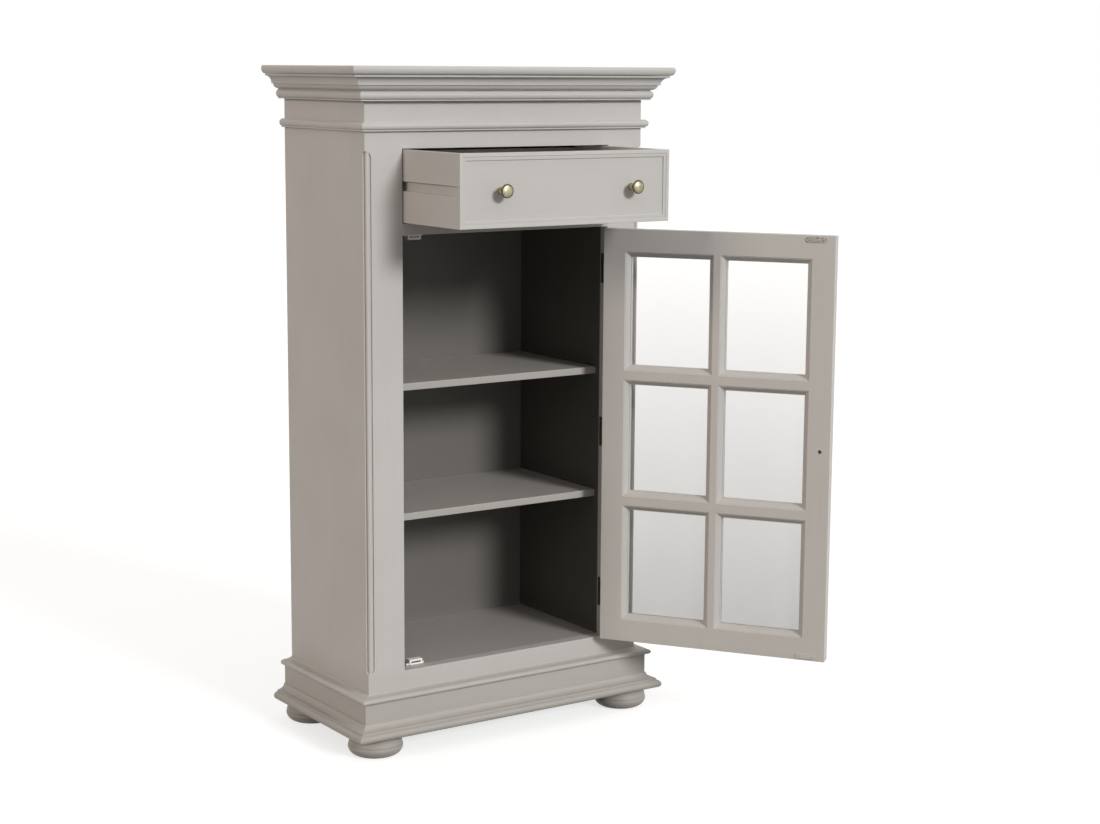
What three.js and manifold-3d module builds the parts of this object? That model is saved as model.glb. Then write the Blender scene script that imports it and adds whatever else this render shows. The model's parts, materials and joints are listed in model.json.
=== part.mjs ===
// Bonnetiere cabinet in painted wood: a drawer over a glazed door, on four bun feet.
// Millimetres, +Z up, front towards -Y. The drawer is drawn out and the door stands open.
import * as THREE from 'three';
import { mergeVertices } from 'three/addons/utils/BufferGeometryUtils.js';
import Module from 'manifold-3d';

const wasm = await Module();
wasm.setup();

// Clearances
const seatGap = 0.3; // between a piece and what it rests on or is fixed to
const overrun = 2; // how far a cut runs past the piece that it is cut from
const samePoint = 0.03; // points of an outline that lie closer than this count as one
const arcSteps = 4; // half the flats of a curve in a moulding
const roundSides = 28; // flats round a foot
const knobSides = 20; // flats round a knob
const pinSides = 14; // flats round a hinge barrel, a pin or a screw

// Carcass
const bodyWidth = 680;
const bodyDepth = 346;
const stileWidth = 86;
const faceThickness = 24;
const sideThickness = 18;
const liningThickness = 12;
const backThickness = 7;
const backInset = 2;
const boardThickness = 15;
const dustBoardThickness = 12;
const hiddenRise = 18; // how far the rail and back stop short of the base's underside
const shelfSetback = 38;
const shelfHousing = 4; // depth of the groove that holds a shelf's end
const lowerShelfRise = 325; // from the cupboard's floor up to the shelf's top
const upperShelfRise = 599;

// Heights of the front, from the floor up
const footHeight = 42;
const baseHeight = 92;
const sillRise = 38;
const doorOpeningHeight = 908;
const midRailHeight = 24;
const drawerOpeningHeight = 150;
const neckRise = 35;
const neckBeadHeight = 18;
const friezeHeight = 42;
const corniceHeight = 52;
const topThickness = 17;

// Corner bead that runs up each front corner between two grooves
const cornerBead = { front: 14.5, side: 11, groove: 2.5, grooveDepth: 3, relief: 0.8 };
const cornerBeadBottomRise = 3; // above the sill
const cornerBeadTopDrop = 4; // below the top of the drawer opening

// Mouldings: reaches are measured out from the face of the body
const cornice = {
  lowReach: 14.5, lowHeight: 2.3, roundRoot: 12, roundReach: 19, roundHeight: 17.2,
  filletReach: 14, filletHeight: 1.5,
  ovoloReach: 25.5, ovoloHeight: 10, coronaReach: 29.5, coronaHeight: 1.5, coveReach: 44, coveHeight: 15,
};
const topNosing = { rootReach: 45.5, reach: 52.5, topReach: 49, bulgeShare: 0.62 };
const neckBead = { filletReach: 7, filletHeight: 3.2, beadReach: 12, beadHeight: 13.8 };
const plinth = {
  roundRoot: 36.5, roundReach: 45.2, roundHeight: 18, filletHeight: 3.5, coveReach: 20, coveHeight: 12.5,
  faceReach: 17.5, beadRoot: 19.5, beadReach: 27.5, beadHeight: 16,
};

// Bun foot, turned: radii as shares of the widest, heights as shares of the whole
const footRadius = 58;
const footOutsetX = 25; // from the body's side in to the foot's centre
const footFrontInset = 18;
const footRearInset = 48;
const footOutlineShares = [
  [0.64, 0], [0.78, 0.035], [0.9, 0.14], [0.97, 0.27], [1, 0.43], [0.99, 0.54],
  [0.965, 0.56], [0.975, 0.6], [0.94, 0.75], [0.86, 0.88], [0.77, 0.95], [0.75, 1],
];

// Drawer
const drawerOut = 218; // how far it is drawn out as it stands
const drawerSideGap = 1.5;
const drawerTopGap = 1.75;
const drawerBackGap = 11.7; // behind the drawer when it is shut
const drawerFrontThickness = 20;
const drawerLap = 9; // the front's thickness left over the ends of the sides
const drawerSideThickness = 15;
const drawerBackThickness = 12;
const drawerBackDrop = 6;
const drawerBackInset = 4;
const drawerBottomThickness = 5;
const drawerBottomRise = 10;
const drawerBottomHousing = 5;
const drawerLip = { width: 6.5, step: 1.2, stepWidth: 1.4, shelf: 3.2, slope: 4.9, depth: 3.4 };
const runner = { height: 18, reach: 8, frontInset: 2, backInset: 6 };
const runnerGrooveHeight = 19.5;
const runnerGrooveDepth = 8.5;
const drawerKnobInset = 94.5; // from the drawer's end to the knob's middle
const knobStudLength = 12;
const knobStudRadius = 2;

// Knob, turned: radii as shares of the widest, heights as shares of the whole
const knobRadius = 14;
const knobHeight = 30;
const knobOutlineShares = [
  [0.46, 0], [0.46, 0.07], [0.32, 0.11], [0.37, 0.17], [0.26, 0.25], [0.28, 0.4], [0.5, 0.56],
  [0.8, 0.69], [0.97, 0.77], [1, 0.83], [0.96, 0.885], [0.86, 0.895], [0.58, 0.965], [0.3, 0.992],
];

// Door
const doorGap = 1.5;
const doorThickness = 24;
const doorOpen = THREE.MathUtils.degToRad(125); // how far it stands open
const doorFrameFlat = 49;
const uprightBarFlat = 16;
const crossBarFlat = 21;
const glassThickness = 3;
const glassFront = 5; // from the door's outer face to the glass
// Moulded edge of the door's frame and bars, towards the glass
const stick = {
  width: 11, groove: 6.5, grooveGap: 0.3, outerRoot: 5, outerDepth: 3.5,
  innerDepth: 12.3, innerFillet: 2, slopeDepth: 13.5, slopeTop: 22.4, slopeInset: 1.6,
};
const doorKnobInset = 22;
const knobScrew = { headRadius: 3.8, headHeight: 3, recess: 6, shankRadius: 2, clearance: 0.4, grip: 7 };

// Butt hinges
const hingeHeight = 64;
const hingeWidth = 22;
const hingeLeafThickness = 1.2;
const barrelRadius = 3.2;
const hingePinRadius = 1.5;
const barrelProud = 4; // from the face of the cabinet out to the pin
const knuckleGap = 0.4;
const hingeInset = { bottom: 96.5, top: 89.5 }; // from the door's ends to the middles of its outer hinges
const middleHingeRise = 4; // above the door's middle

// Magnetic catches and their strike plates
const catchInset = 42.5; // from the side of the opening to the catch's middle
const catchCase = { width: 31, depth: 13, height: 12, lugWidth: 44, lugThickness: 4, lugDepth: 8 };
const catchSlot = { width: 23, height: 2.6, depth: 3 };
const catchStandoff = 0.8;
const strike = { width: 44, height: 11, thickness: 1.2, edgeInset: 9 };

const painted = { color: 0xb5aea6, roughness: 0.55, metalness: 0 };
const paintedInside = { color: 0xa49d95, roughness: 0.6, metalness: 0 };
const brass = { color: 0xa3966b, roughness: 0.35, metalness: 1 };
const darkMetal = { color: 0x5a554c, roughness: 0.45, metalness: 1 };
const steel = { color: 0x8d8b88, roughness: 0.4, metalness: 1 };
const catchPlastic = { color: 0xdcdad6, roughness: 0.4, metalness: 0 };
const clearGlass = { color: 0xe6ecea, roughness: 0.05, metalness: 0, transparent: true, opacity: 0.35 };

// Levels and places worked out from the sizes above
const halfWidth = bodyWidth / 2;
const openingHalf = halfWidth - stileWidth;
const carcassBottom = footHeight + seatGap;
const baseTop = footHeight + baseHeight;
const sillTop = baseTop + sillRise;
const midRailBottom = sillTop + doorOpeningHeight;
const midRailTop = midRailBottom + midRailHeight;
const drawerOpeningTop = midRailTop + drawerOpeningHeight;
const neckBeadBottom = drawerOpeningTop + neckRise;
const corniceBottom = neckBeadBottom + neckBeadHeight + friezeHeight;
const topBoardBottom = corniceBottom + corniceHeight;
const carcassTop = topBoardBottom - seatGap;
const insideFront = faceThickness + seatGap;
const insideBack = bodyDepth - backInset - backThickness - seatGap;
const lowerShelfTop = sillTop + lowerShelfRise;
const upperShelfTop = sillTop + upperShelfRise;
const doorHalf = openingHalf - doorGap;
const doorBottom = sillTop + doorGap;
const doorTop = midRailBottom - doorGap;
const doorMiddle = (doorTop + doorBottom) / 2;
const hingeHeights = {
  lower: doorBottom + hingeInset.bottom,
  middle: doorMiddle + middleHingeRise,
  upper: doorTop - hingeInset.top,
};
const catchX = catchInset - openingHalf;

const cabinet = new THREE.Group();
const drawer = new THREE.Group();
const door = new THREE.Group();
const doorBoards = new THREE.Group();

// Solids and meshes

function addMesh(parent, name, geometry, finish) {
  const mesh = new THREE.Mesh(geometry, new THREE.MeshStandardMaterial(finish));
  mesh.name = name;
  parent.add(mesh);
  return mesh;
}

function boxBetween(low, high) {
  const size = high.map((value, axis) => value - low[axis]);
  const box = new THREE.BoxGeometry(...size);
  return box.translate(...low.map((value, axis) => value + size[axis] / 2));
}

function addBoard(parent, name, low, high, finish) {
  return addMesh(parent, name, boxBetween(low, high), finish);
}

function toSolid(geometry) {
  const bare = geometry.clone();
  bare.deleteAttribute('normal');
  bare.deleteAttribute('uv');
  const merged = mergeVertices(bare);
  const vertProperties = Float32Array.from(merged.attributes.position.array);
  const triVerts = Uint32Array.from(merged.index.array);
  return new wasm.Manifold(new wasm.Mesh({ numProp: 3, vertProperties, triVerts }));
}

function toGeometry(solid) {
  const { vertProperties, triVerts } = solid.getMesh();
  const geometry = new THREE.BufferGeometry();
  geometry.setAttribute('position', new THREE.BufferAttribute(vertProperties, 3));
  geometry.setIndex(new THREE.BufferAttribute(triVerts, 1));
  return geometry;
}

function cut(body, tools) {
  return toGeometry(tools.reduce((left, tool) => left.subtract(toSolid(tool)), toSolid(body)));
}

function join(pieces) {
  return toGeometry(pieces.map(toSolid).reduce((whole, piece) => whole.add(piece)));
}

function volumeOf(positions, index) {
  const corner = (i) => new THREE.Vector3().fromArray(positions, index[i] * 3);
  let volume = 0;
  for (let i = 0; i < index.length; i += 3) volume += corner(i).dot(corner(i + 1).cross(corner(i + 2)));
  return volume;
}

// A solid through matching rings of points; its two ends are filled in on the flat outline
function loft(outline, rings) {
  const clockwise = THREE.ShapeUtils.isClockWise(outline);
  const flat = clockwise ? [...outline].reverse() : outline;
  const ordered = clockwise ? rings.map((ring) => [...ring].reverse()) : rings;
  const count = flat.length;
  const positions = ordered.flat().flatMap((point) => point.toArray());
  const index = [];
  for (let start = 0; start < (ordered.length - 1) * count; start += count) {
    for (let i = 0; i < count; i += 1) {
      const a = start + i;
      const b = start + (i + 1) % count;
      index.push(a, b, b + count, a, b + count, a + count);
    }
  }
  const last = (ordered.length - 1) * count;
  for (const [a, b, c] of THREE.ShapeUtils.triangulateShape(flat, [])) {
    index.push(c, b, a, last + a, last + b, last + c);
  }
  if (volumeOf(positions, index) < 0) index.reverse();
  const geometry = new THREE.BufferGeometry();
  geometry.setAttribute('position', new THREE.Float32BufferAttribute(positions, 3));
  return geometry.setIndex(index);
}

// A bar of one outline between two places; place(point, end) gives the corner in space
function bar(outline, ends, place) {
  return loft(outline, ends.map((end) => outline.map((point) => place(point, end))));
}

// A turned piece on the Z axis through points of radius and height
function turned(points, sides) {
  return new THREE.LatheGeometry(points, sides).rotateX(Math.PI / 2);
}

function rod(radius, low, high, sides) {
  const corners = [[0, low], [radius, low], [radius, high], [0, high]];
  return turned(corners.map(([r, z]) => new THREE.Vector2(r, z)), sides);
}

function sharesToPoints(shares, radius, height) {
  return shares.map(([r, z]) => new THREE.Vector2(r * radius, z * height));
}

// Outline points of a path, without a repeated last point
function outlineOf(path) {
  const points = path.getPoints(arcSteps);
  return points.filter((point, i) => i === 0 || point.distanceTo(points[i - 1]) > samePoint);
}

// Carcass

// The cut that leaves a rounded bead between two grooves, measured in from the front corner
function cornerBeadCut(side) {
  const { front, side: back, groove, grooveDepth, relief } = cornerBead;
  const path = new THREE.Path();
  path.moveTo(front, -overrun).lineTo(front, grooveDepth).lineTo(front - groove, grooveDepth);
  path.lineTo(front - groove, relief);
  path.absellipse(front - groove, back - groove, front - groove - relief, back - groove - relief,
    -Math.PI / 2, -Math.PI, true);
  path.lineTo(grooveDepth, back - groove).lineTo(grooveDepth, back);
  path.lineTo(-overrun, back).lineTo(-overrun, -overrun);
  const low = sillTop + cornerBeadBottomRise;
  const high = drawerOpeningTop - cornerBeadTopDrop;
  const ends = [low, high];
  const place = (point, z) => new THREE.Vector3(side * (halfWidth - point.x), point.y, z);
  const grooves = toSolid(bar(outlineOf(path), ends, place));
  const reach = Math.max(front, back) + overrun;
  const frontArch = bar(archOutline(front, low, high), [-reach, reach],
    (point, y) => new THREE.Vector3(side * (halfWidth - point.x), y, point.y));
  const sideArch = bar(archOutline(back, low, high), [-reach, reach],
    (point, u) => new THREE.Vector3(side * (halfWidth - u), point.x, point.y));
  return toGeometry(grooves.intersect(toSolid(frontArch)).intersect(toSolid(sideArch)));
}

// A tall outline that rounds in to the corner at both ends
function archOutline(width, low, high) {
  const path = new THREE.Path();
  path.moveTo(-overrun, low).lineTo(0, low);
  path.absellipse(0, low + width, width, width, -Math.PI / 2, 0, false);
  path.lineTo(width, high - width);
  path.absellipse(0, high - width, width, width, 0, Math.PI / 2, false);
  path.lineTo(-overrun, high);
  return outlineOf(path);
}

function addCornerPosts() {
  for (const [name, side] of [['left', -1], ['right', 1]]) {
    const xs = [side * openingHalf, side * halfWidth].sort((a, b) => a - b);
    const post = boxBetween([xs[0], 0, carcassBottom], [xs[1], faceThickness, carcassTop]);
    const cuts = [cornerBeadCut(side)];
    if (side > 0) cuts.push(...Object.values(hingeHeights).map((z) => leafRecess(z, openingHalf, 1)));
    addMesh(cabinet, `corner_post_${name}`, cut(post, cuts), painted);
  }
}

function addSides() {
  const shelfBottoms = [lowerShelfTop, upperShelfTop].map((top) => top - boardThickness);
  for (const [name, side] of [['left', -1], ['right', 1]]) {
    const outer = [side * halfWidth, side * (halfWidth - sideThickness)].sort((a, b) => a - b);
    addBoard(cabinet, `side_panel_${name}`, [outer[0], insideFront, carcassBottom],
      [outer[1], bodyDepth, carcassTop], painted);
    const lining = [side * openingHalf, side * (openingHalf + liningThickness)].sort((a, b) => a - b);
    const board = boxBetween([lining[0], insideFront, sillTop + seatGap],
      [lining[1], insideBack, carcassTop]);
    const housing = [side * (openingHalf - overrun), side * (openingHalf + shelfHousing + seatGap)];
    housing.sort((a, b) => a - b);
    const cuts = shelfBottoms.map((z) => boxBetween(
      [housing[0], shelfSetback - seatGap, z - seatGap],
      [housing[1], insideBack + overrun, z + boardThickness + seatGap]));
    addMesh(cabinet, `inner_side_${name}`, cut(board, cuts), paintedInside);
  }
}

function addBackFloorAndShelves() {
  const betweenSides = halfWidth - sideThickness - seatGap;
  const hiddenBottom = footHeight + hiddenRise;
  addBoard(cabinet, 'back_panel', [-betweenSides, bodyDepth - backInset - backThickness, hiddenBottom],
    [betweenSides, bodyDepth - backInset, carcassTop], paintedInside);
  addBoard(cabinet, 'floor_board', [-betweenSides, insideFront, sillTop - boardThickness],
    [betweenSides, insideBack, sillTop], paintedInside);
  const shelfHalf = openingHalf + shelfHousing;
  for (const [name, top] of [['lower', lowerShelfTop], ['upper', upperShelfTop]]) {
    addBoard(cabinet, `shelf_${name}`, [-shelfHalf, shelfSetback, top - boardThickness],
      [shelfHalf, insideBack, top], paintedInside);
  }
  addBoard(cabinet, 'dust_board', [-openingHalf + seatGap, insideFront, midRailBottom],
    [openingHalf - seatGap, insideBack, midRailBottom + dustBoardThickness], paintedInside);
}

function addRails() {
  const railHalf = openingHalf - seatGap;
  const rails = {
    bottom_rail: [footHeight + hiddenRise, sillTop],
    mid_rail: [midRailBottom, midRailTop],
    top_rail: [drawerOpeningTop, carcassTop],
  };
  for (const [name, [low, high]] of Object.entries(rails)) {
    addBoard(cabinet, name, [-railHalf, 0, low], [railHalf, faceThickness, high], painted);
  }
}

// Mouldings, each in three lengths mitred at the front corners

function addMouldings(name, outline, bottom) {
  const across = (x, point, end) => new THREE.Vector3(x, end ? bodyDepth : -point.x, point.y);
  const lengths = {
    front: (point, end) => new THREE.Vector3(end * (halfWidth + point.x - seatGap), -point.x, point.y),
    left: (point, end) => across(-halfWidth - point.x, point, end),
    right: (point, end) => across(halfWidth + point.x, point, end),
  };
  for (const [side, place] of Object.entries(lengths)) {
    const ends = side === 'front' ? [-1, 1] : [0, 1];
    addMesh(cabinet, `${name}_${side}`, bar(outline, ends, place), painted).position.z = bottom;
  }
}

function corniceOutline() {
  const c = cornice;
  const path = new THREE.Path();
  path.moveTo(seatGap, 0).lineTo(c.lowReach, 0).lineTo(c.lowReach, c.lowHeight);
  path.lineTo(c.roundRoot, c.lowHeight);
  path.absellipse(c.roundRoot, c.lowHeight + c.roundHeight / 2, c.roundReach - c.roundRoot,
    c.roundHeight / 2, -Math.PI / 2, Math.PI / 2, false);
  const roundTop = c.lowHeight + c.roundHeight;
  const filletTop = roundTop + c.filletHeight;
  path.lineTo(c.filletReach, roundTop).lineTo(c.filletReach, filletTop);
  const ovoloTop = filletTop + c.ovoloHeight;
  path.absellipse(c.filletReach, ovoloTop, c.ovoloReach - c.filletReach, c.ovoloHeight,
    -Math.PI / 2, 0, false);
  const coveBottom = ovoloTop + c.coronaHeight;
  path.lineTo(c.coronaReach, ovoloTop).lineTo(c.coronaReach, coveBottom);
  path.absellipse(c.coveReach, coveBottom, c.coveReach - c.coronaReach, c.coveHeight,
    Math.PI, Math.PI / 2, true);
  path.lineTo(c.coveReach, corniceHeight - seatGap).lineTo(seatGap, corniceHeight - seatGap);
  return outlineOf(path);
}

function neckBeadOutline() {
  const n = neckBead;
  const path = new THREE.Path();
  path.moveTo(seatGap, 0).lineTo(n.filletReach, 0).lineTo(n.filletReach, n.filletHeight);
  path.absellipse(n.filletReach, n.filletHeight + n.beadHeight / 2, n.beadReach - n.filletReach,
    n.beadHeight / 2, -Math.PI / 2, Math.PI / 2, false);
  path.lineTo(seatGap, neckBeadHeight);
  return outlineOf(path);
}

function plinthOutline() {
  const p = plinth;
  const path = new THREE.Path();
  path.moveTo(seatGap, seatGap).lineTo(p.roundRoot, seatGap);
  path.absellipse(p.roundRoot, p.roundHeight / 2, p.roundReach - p.roundRoot, p.roundHeight / 2 - seatGap,
    -Math.PI / 2, Math.PI / 2, false);
  const coveBottom = p.roundHeight + p.filletHeight;
  const coveTop = coveBottom + p.coveHeight;
  path.lineTo(p.roundRoot, coveBottom);
  path.absellipse(p.roundRoot, coveTop, p.roundRoot - p.coveReach, p.coveHeight,
    -Math.PI / 2, -Math.PI, true);
  const beadBottom = baseHeight - p.beadHeight;
  path.lineTo(p.faceReach, coveTop).lineTo(p.faceReach, beadBottom).lineTo(p.beadRoot, beadBottom);
  path.absellipse(p.beadRoot, baseHeight - p.beadHeight / 2, p.beadReach - p.beadRoot, p.beadHeight / 2,
    -Math.PI / 2, Math.PI / 2, false);
  path.lineTo(seatGap, baseHeight);
  return outlineOf(path);
}

function addTopBoard() {
  const { rootReach, reach, topReach, bulgeShare } = topNosing;
  const path = new THREE.Path();
  const bulge = topThickness * bulgeShare;
  path.moveTo(rootReach, 0);
  path.absellipse(rootReach, bulge, reach - rootReach, bulge, -Math.PI / 2, 0, false);
  path.absellipse(topReach, bulge, reach - topReach, topThickness - bulge, 0, Math.PI / 2, false);
  const rings = outlineOf(path).map(({ x, y }) => [[-1, 0], [1, 0], [1, 1], [-1, 1]].map(([across, back]) => (
    new THREE.Vector3(across * (halfWidth + x), back ? bodyDepth : -x, topBoardBottom + y))));
  const outline = rings[0].map((point) => new THREE.Vector2(point.x, point.y));
  addMesh(cabinet, 'top_board', loft(outline, rings), painted);
}

function addFeet() {
  const points = sharesToPoints(footOutlineShares, footRadius, footHeight);
  const outline = [new THREE.Vector2(0, 0), ...points, new THREE.Vector2(0, footHeight)];
  const depths = { front: footFrontInset, rear: bodyDepth - footRearInset };
  for (const [row, y] of Object.entries(depths)) {
    for (const [name, side] of [['left', -1], ['right', 1]]) {
      const foot = addMesh(cabinet, `bun_foot_${row}_${name}`, turned(outline, roundSides), painted);
      foot.position.set(side * (halfWidth - footOutsetX), y, 0);
    }
  }
}

// Drawer, drawn shut here; its group carries it out

const drawerHalf = openingHalf - drawerSideGap;
const drawerLength = insideBack - drawerBackGap;
const drawerKnobOffset = drawerHalf - drawerKnobInset;
const drawerBottomEdge = midRailTop + drawerTopGap;
const drawerTopEdge = drawerOpeningTop - drawerTopGap;
const drawerCentreHeight = (drawerBottomEdge + drawerTopEdge) / 2;
const runnerGrooveBottom = drawerCentreHeight - runnerGrooveHeight / 2;
const drawerPanelBottom = drawerBottomEdge + drawerBottomRise;
const drawerPanelTop = drawerPanelBottom + drawerBottomThickness;

function lipRecess() {
  const { width, step, stepWidth, shelf, slope, depth } = drawerLip;
  const shelfEnd = stepWidth + shelf;
  const steps = [[0, -overrun], [0, 0], [stepWidth, step], [shelfEnd, step], [shelfEnd + slope, depth]];
  const rings = steps.map(([inset, y]) => {
    const x = drawerHalf - width - inset;
    const low = drawerBottomEdge + width + inset;
    const high = drawerTopEdge - width - inset;
    return [[-x, low], [x, low], [x, high], [-x, high]].map(([px, pz]) => new THREE.Vector3(px, y, pz));
  });
  return loft(rings[0].map((point) => new THREE.Vector2(point.x, point.z)), rings);
}

function addDrawerFront() {
  const board = boxBetween([-drawerHalf, 0, drawerBottomEdge],
    [drawerHalf, drawerFrontThickness, drawerTopEdge]);
  const rebateIn = drawerHalf - drawerSideThickness - seatGap;
  const cuts = [lipRecess()];
  for (const side of [-1, 1]) {
    const xs = [side * rebateIn, side * (drawerHalf + overrun)].sort((a, b) => a - b);
    cuts.push(boxBetween([xs[0], drawerLap, drawerBottomEdge - overrun],
      [xs[1], drawerFrontThickness + overrun, drawerTopEdge + overrun]));
    const bore = rod(knobStudRadius + seatGap, 0, knobStudLength + overrun, pinSides).rotateX(-Math.PI / 2);
    cuts.push(bore.translate(side * drawerKnobOffset, drawerLip.depth - seatGap, drawerCentreHeight));
  }
  const housingFront = drawerFrontThickness - drawerBottomHousing - seatGap;
  cuts.push(boxBetween([-drawerHalf - overrun, housingFront, drawerPanelBottom - seatGap],
    [drawerHalf + overrun, drawerFrontThickness + overrun, drawerPanelTop + seatGap]));
  addMesh(drawer, 'drawer_front', cut(board, cuts), painted);
}

// Section of a drawer side: a wide groove outside for the runner, a narrow one inside for the bottom
function drawerSideOutline() {
  const insideHalf = drawerHalf - drawerSideThickness;
  const grooveIn = drawerHalf - runnerGrooveDepth;
  const housingOut = insideHalf + drawerBottomHousing + seatGap;
  const housingLow = drawerPanelBottom - seatGap;
  const housingHigh = drawerPanelTop + seatGap;
  const grooveTop = runnerGrooveBottom + runnerGrooveHeight;
  const points = [
    [drawerHalf, drawerBottomEdge], [drawerHalf, runnerGrooveBottom], [grooveIn, runnerGrooveBottom],
    [grooveIn, grooveTop], [drawerHalf, grooveTop], [drawerHalf, drawerTopEdge], [insideHalf, drawerTopEdge],
    [insideHalf, housingHigh], [housingOut, housingHigh], [housingOut, housingLow], [insideHalf, housingLow],
    [insideHalf, drawerBottomEdge],
  ];
  return points.map(([x, z]) => new THREE.Vector2(x, z));
}

function addDrawerBox() {
  const insideHalf = drawerHalf - drawerSideThickness;
  for (const [name, side] of [['left', -1], ['right', 1]]) {
    addMesh(drawer, `drawer_side_${name}`, bar(drawerSideOutline(), [drawerLap + seatGap, drawerLength],
      (point, y) => new THREE.Vector3(side * point.x, y, point.y)), painted);
  }
  const backFront = drawerLength - drawerBackInset - drawerBackThickness;
  addBoard(drawer, 'drawer_back', [-insideHalf + seatGap, backFront, drawerPanelTop + seatGap],
    [insideHalf - seatGap, backFront + drawerBackThickness, drawerTopEdge - drawerBackDrop], painted);
  const bottomHalf = insideHalf + drawerBottomHousing;
  const bottomFront = drawerFrontThickness - drawerBottomHousing;
  addBoard(drawer, 'drawer_bottom', [-bottomHalf, bottomFront, drawerPanelBottom],
    [bottomHalf, drawerLength - drawerBackInset, drawerPanelTop], painted);
}

// A knob on the Z axis; core gives the points on the axis side of its foot
function knobGeometry(core) {
  const points = sharesToPoints(knobOutlineShares, knobRadius, knobHeight);
  return turned([...core, ...points, new THREE.Vector2(0, knobHeight)], knobSides);
}

function addDrawerKnobs() {
  const core = [[0, -knobStudLength], [knobStudRadius, -knobStudLength], [knobStudRadius, 0]];
  for (const [name, side] of [['left', -1], ['right', 1]]) {
    const knob = knobGeometry(core.map(([r, z]) => new THREE.Vector2(r, z)));
    const mesh = addMesh(drawer, `drawer_knob_${name}`, knob.rotateX(Math.PI / 2), brass);
    mesh.position.set(side * drawerKnobOffset, drawerLip.depth - seatGap, drawerCentreHeight);
  }
}

function addRunners() {
  const grooveTop = runnerGrooveBottom + runnerGrooveHeight;
  const top = grooveTop - seatGap;
  for (const [name, side] of [['left', -1], ['right', 1]]) {
    const xs = [side * (openingHalf - runner.reach), side * (openingHalf - seatGap)].sort((a, b) => a - b);
    addBoard(cabinet, `drawer_runner_${name}`, [xs[0], insideFront + runner.frontInset, top - runner.height],
      [xs[1], insideBack - runner.backInset, top], paintedInside);
  }
}

// Door, drawn shut here in the cabinet's place; its group turns it open about the hinge pins

const doorHeight = doorTop - doorBottom;
const frameEdge = doorFrameFlat + stick.width;
const lightWidth = (2 * doorHalf - 2 * frameEdge - uprightBarFlat - 2 * stick.width) / 2;
const crossBarWidth = crossBarFlat + 2 * stick.width;
const lightHeight = (doorHeight - 2 * frameEdge - 2 * crossBarWidth) / 3;
const pinX = openingHalf - doorGap / 2;
const pinY = -barrelProud;

// Moulded edge beyond a flat edge, from the outer face to the inner face; grown all round by grow
function stickPoints(flat, grow) {
  const s = stick;
  const edge = flat + s.width + grow;
  const grooveBottom = edge - s.groove;
  const grooveFront = glassFront - s.grooveGap + grow;
  const grooveBack = glassFront + glassThickness + s.grooveGap - grow;
  return [
    [flat + s.outerRoot + grow, -grow], [edge, s.outerDepth - grow], [edge, grooveFront],
    [grooveBottom, grooveFront], [grooveBottom, grooveBack], [edge, grooveBack], [edge, s.innerDepth + grow],
    [edge - s.innerFillet, s.innerDepth + grow], [edge - s.innerFillet, s.slopeDepth + grow],
    [flat + s.slopeInset + grow, s.slopeTop + grow], [flat + grow, s.slopeTop + grow],
    [flat + grow, doorThickness + grow],
  ];
}

function frameOutline(grow) {
  const points = [[-grow, -grow], ...stickPoints(doorFrameFlat, grow), [-grow, doorThickness + grow]];
  return points.map(([w, y]) => new THREE.Vector2(w, y));
}

function barOutline(flat) {
  const half = stickPoints(flat / 2, 0);
  const mirrored = half.map(([w, y]) => [-w, y]).reverse();
  return [...half, ...mirrored].map(([w, y]) => new THREE.Vector2(w, y));
}

// side is -1 for the free stile and 1 for the hinge stile
function stile(side, grow) {
  return bar(frameOutline(grow), [doorBottom - grow, doorTop + grow],
    (point, z) => new THREE.Vector3(side * (doorHalf - point.x), point.y, z));
}

// side is -1 for the bottom rail and 1 for the top rail
function rail(side, reach, grow) {
  const edge = side > 0 ? doorTop : doorBottom;
  return bar(frameOutline(grow), [-reach, reach],
    (point, x) => new THREE.Vector3(x, point.y, edge - side * point.x));
}

function addDoorFrame() {
  const stileBlocks = [stile(-1, seatGap), stile(1, seatGap)];
  const coped = doorHalf - doorFrameFlat;
  const { headRadius, shankRadius, clearance, recess } = knobScrew;
  const screwCuts = [
    rod(headRadius + clearance, doorThickness - recess, doorThickness + overrun, pinSides),
    rod(shankRadius + clearance, -overrun, doorThickness, pinSides),
  ].map((hole) => hole.rotateX(-Math.PI / 2).translate(-doorHalf + doorKnobInset, 0, doorMiddle));
  const recesses = Object.values(hingeHeights).map((z) => leafRecess(z, doorHalf, -1));
  addMesh(doorBoards, 'door_stile_free', cut(stile(-1, 0), screwCuts), painted);
  addMesh(doorBoards, 'door_stile_hinged', cut(stile(1, 0), recesses), painted);
  addMesh(doorBoards, 'door_rail_top', cut(rail(1, coped, 0), stileBlocks), painted);
  addMesh(doorBoards, 'door_rail_bottom', cut(rail(-1, coped, 0), stileBlocks), painted);
  const railBlocks = [rail(-1, coped, seatGap), rail(1, coped, seatGap)];
  const barEnd = doorBottom + doorFrameFlat;
  const upright = bar(barOutline(uprightBarFlat), [barEnd, doorTop - doorFrameFlat],
    (point, z) => new THREE.Vector3(point.x, point.y, z));
  const crossings = [1, 2].map((row) => {
    const centre = doorBottom + frameEdge + row * (lightHeight + crossBarWidth) - crossBarWidth / 2;
    return bar(barOutline(crossBarFlat), [-coped, coped],
      (point, x) => new THREE.Vector3(x, point.y, centre + point.x));
  });
  const lattice = join([upright, ...crossings]);
  addMesh(doorBoards, 'glazing_bars', cut(lattice, [...stileBlocks, ...railBlocks]), painted);
}

function addPanes() {
  const lap = stick.groove - stick.grooveGap;
  for (const [row, rowName] of ['bottom', 'middle', 'top'].entries()) {
    for (const [column, columnName] of ['left', 'right'].entries()) {
      const x = -doorHalf + frameEdge + column * (lightWidth + uprightBarFlat + 2 * stick.width);
      const z = doorBottom + frameEdge + row * (lightHeight + crossBarWidth);
      addBoard(doorBoards, `glass_${rowName}_${columnName}`, [x - lap, glassFront, z - lap],
        [x + lightWidth + lap, glassFront + glassThickness, z + lightHeight + lap], clearGlass);
    }
  }
}

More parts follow.
